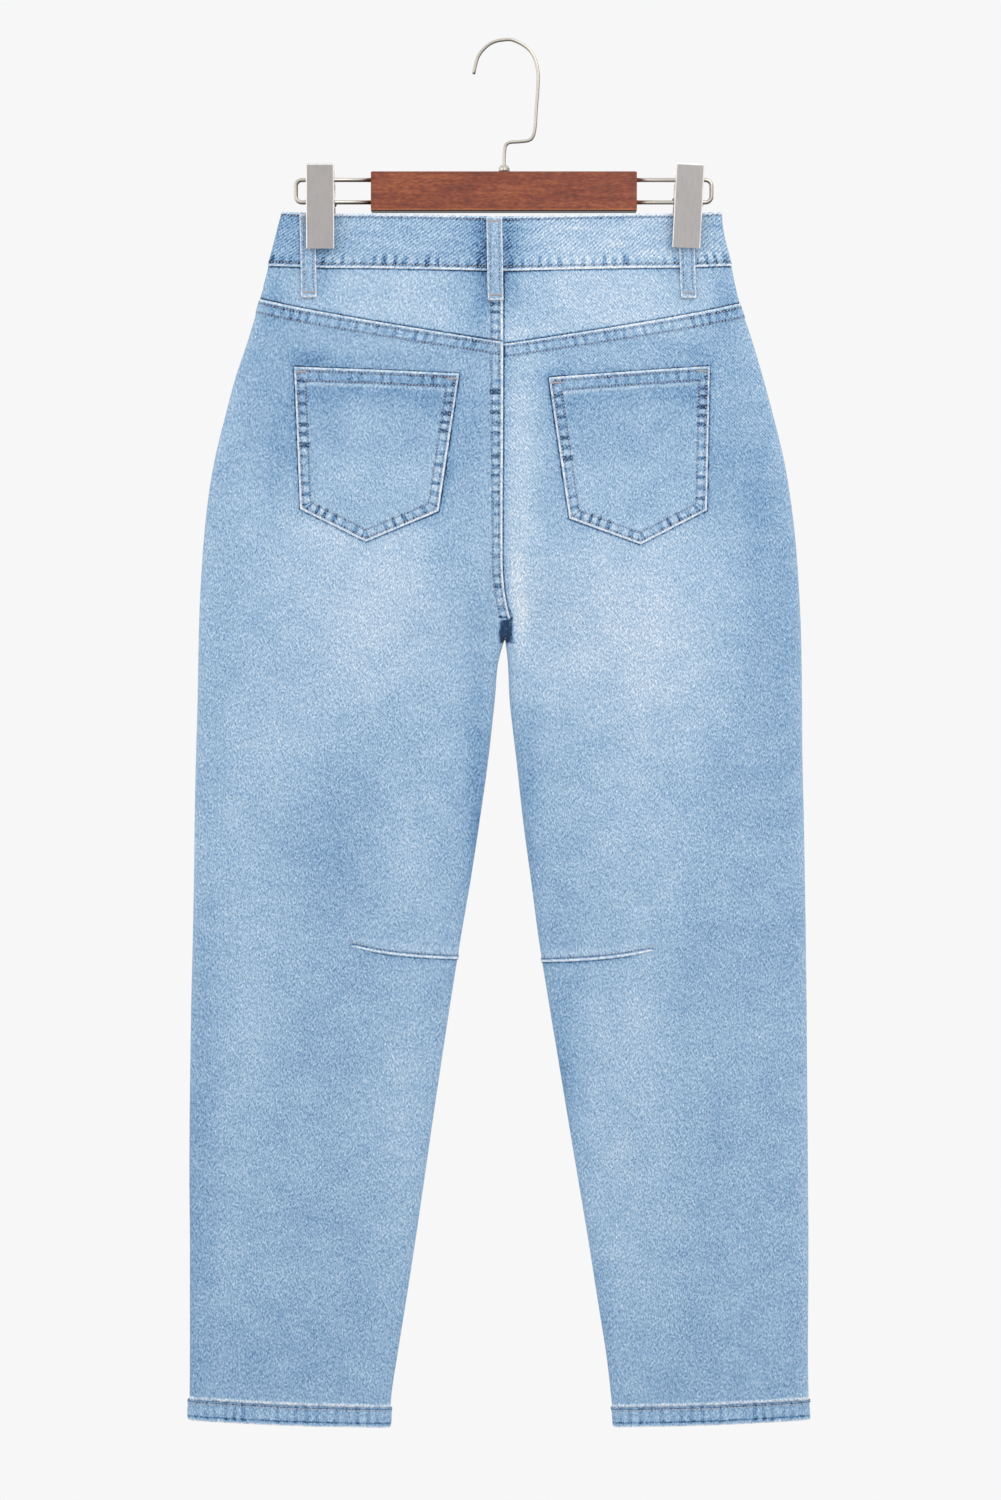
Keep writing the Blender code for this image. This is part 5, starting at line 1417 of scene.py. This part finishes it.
# Lamps: name, place, size in metres and power; where they aim; the camera's place and lens.
LAMPS = (("key", (0.9, -1.6, 1.0), 1.4, 14.0), ("side", (-1.8, -0.9, 0.1), 1.2, 4.0))
AIM = (0, 0, -0.62)
EYE = (-0.003, -2.5, -0.588)
LENS = 72.3


class JeansSettings(bpy.types.PropertyGroup):
    """Sizes of the drawn cloth and sewing."""

    cloth_step: bpy.props.FloatProperty(name="Cloth Step", description="Row spacing of the back panels",
                                        default=0.0026, unit="LENGTH")
    hidden_step: bpy.props.FloatProperty(name="Front Step", description="Row spacing of the front panels",
                                         default=0.0036, unit="LENGTH")
    stitch_pitch: bpy.props.FloatProperty(name="Stitch Pitch", description="Distance between stitches",
                                          default=0.0027, unit="LENGTH")
    stitch_length: bpy.props.FloatProperty(name="Stitch Length", description="Length of a stitch",
                                           default=0.0017, unit="LENGTH")
    thread: bpy.props.FloatProperty(name="Thread", description="Thickness of the top-stitching thread",
                                    default=0.0010, unit="LENGTH")


def settings():
    return bpy.context.scene.jeans_settings


class JEANS_OT_back(bpy.types.Operator):
    """Build the back legs and yokes"""

    bl_idname = "jeans.back"
    bl_label = "Back Legs and Yokes"

    def execute(self, context):
        for half in HALVES:
            back_leg(half, settings().cloth_step / MM)
            yoke(half, settings().cloth_step / MM)
        return {"FINISHED"}


class JEANS_OT_front(bpy.types.Operator):
    """Build the front legs, pocket facings and fly shield"""

    bl_idname = "jeans.front"
    bl_label = "Front Legs, Facings and Fly"

    def execute(self, context):
        for half in HALVES:
            front_leg(half, settings().hidden_step / MM)
            pocket_facing(half)
        fly_shield()
        return {"FINISHED"}


class JEANS_OT_bands(bpy.types.Operator):
    """Build the waistband and the hems"""

    bl_idname = "jeans.bands"
    bl_label = "Waistband and Hems"

    def execute(self, context):
        waistband()
        for half in HALVES:
            hem(half)
        return {"FINISHED"}


class JEANS_OT_patches(bpy.types.Operator):
    """Build the back pockets and belt loops"""

    bl_idname = "jeans.patches"
    bl_label = "Pockets and Belt Loops"

    def execute(self, context):
        for half in HALVES:
            back_pocket(half)
        for name in LOOPS:
            belt_loop(name)
        return {"FINISHED"}


class JEANS_OT_stitching(bpy.types.Operator):
    """Sew the rows of top-stitching and the bar tacks"""

    bl_idname = "jeans.stitching"
    bl_label = "Stitching"

    def execute(self, context):
        sizes = settings()
        mesh = bmesh.new()
        for points, normals in rows_of_stitches():
            stitch_run(mesh, points, normals, sizes.stitch_pitch / MM, sizes.stitch_length / MM, sizes.thread / MM)
        finished("top_stitching", mesh, "thread", slot="denim")
        mesh = bmesh.new()
        for row in tacks():
            bar_tack(mesh, *row)
        finished("bar_tacks", mesh, "tack", slot="denim")
        return {"FINISHED"}


class JEANS_OT_hanger(bpy.types.Operator):
    """Finish the wooden bar, wires, hook, clips and button"""

    bl_idname = "jeans.hanger"
    bl_label = "Hanger"

    def execute(self, context):
        hanger_bar()
        for name in ("hook_ferrule", "waist_button"):
            put_material(name, "wire")
        mesh = bmesh.new()
        tube(mesh, [(x, 0.0, -drop) for x, drop in smooth_path(HOOK)], HOOK_RADIUS)
        finished("wire_hook", mesh, "wire", "hanger_hook")
        for half in HALVES:
            hanger_wire(half)
            spring(half)
            for face in WAY:
                clip_jaw(half, face)
        return {"FINISHED"}


class JEANS_OT_stage(bpy.types.Operator):
    """Set the floor, the light and the camera"""

    bl_idname = "jeans.stage"
    bl_label = "Stage"

    def execute(self, context):
        scene = context.scene
        mesh = bmesh.new()
        bmesh.ops.create_grid(mesh, x_segments=1, y_segments=1, size=1.45, matrix=Matrix.Translation((0, 0, -1.60)))
        data = data_from(mesh, "floor")
        made, tree, shader = new_material("pale_floor")
        dress(tree, shader, ramp_between(tree, speckle(tree, object_place(tree), 30.0), 0.3, 0.7, 0.80, 0.86), 0.9)
        data.materials.append(made)
        linked("floor", data)
        world = bpy.data.worlds.new("soft_room")
        world.use_nodes = True
        back = world.node_tree.nodes["Background"]
        back.inputs["Color"].default_value = linear("F7F7F8")
        back.inputs["Strength"].default_value = 1.0
        scene.world = world
        for name, spot, size, power in LAMPS:
            light = bpy.data.lights.new(name, "AREA")
            light.shape = "SQUARE"
            light.size = size
            light.energy = power
            lamp = linked(name, light)
            lamp.location = spot
            lamp.rotation_euler = (Vector(AIM) - Vector(spot)).to_track_quat("-Z", "Y").to_euler()
        camera = bpy.data.cameras.new("camera")
        camera.sensor_fit = "VERTICAL"
        camera.sensor_height = 36.0
        camera.lens = LENS
        camera.clip_end = 30.0
        scene.camera = linked("camera", camera)
        scene.camera.location = EYE
        scene.camera.rotation_euler = (math.pi / 2, 0, 0)
        scene.view_settings.view_transform = "Standard"
        return {"FINISHED"}


OPERATORS = (JEANS_OT_back, JEANS_OT_front, JEANS_OT_bands, JEANS_OT_patches, JEANS_OT_stitching,
             JEANS_OT_hanger, JEANS_OT_stage)


class JEANS_PT_panel(bpy.types.Panel):
    """The jeans' pieces in the sidebar"""

    bl_idname = "JEANS_PT_panel"
    bl_label = "Jeans"
    bl_space_type = "VIEW_3D"
    bl_region_type = "UI"
    bl_category = "Jeans"

    def draw(self, context):
        for name in JeansSettings.__annotations__:
            self.layout.prop(context.scene.jeans_settings, name)
        for kind in OPERATORS:
            self.layout.operator(kind.bl_idname)


CLASSES = (JeansSettings,) + OPERATORS + (JEANS_PT_panel,)


def register():
    for kind in CLASSES:
        bpy.utils.register_class(kind)
    bpy.types.Scene.jeans_settings = bpy.props.PointerProperty(type=JeansSettings)


def unregister():
    del bpy.types.Scene.jeans_settings
    for kind in reversed(CLASSES):
        bpy.utils.unregister_class(kind)


def main():
    register()
    for kind in OPERATORS:
        group, name = kind.bl_idname.split(".")
        if getattr(getattr(bpy.ops, group), name)() != {"FINISHED"}:
            raise RuntimeError(kind.bl_label)


if __name__ == "__main__":
    main()
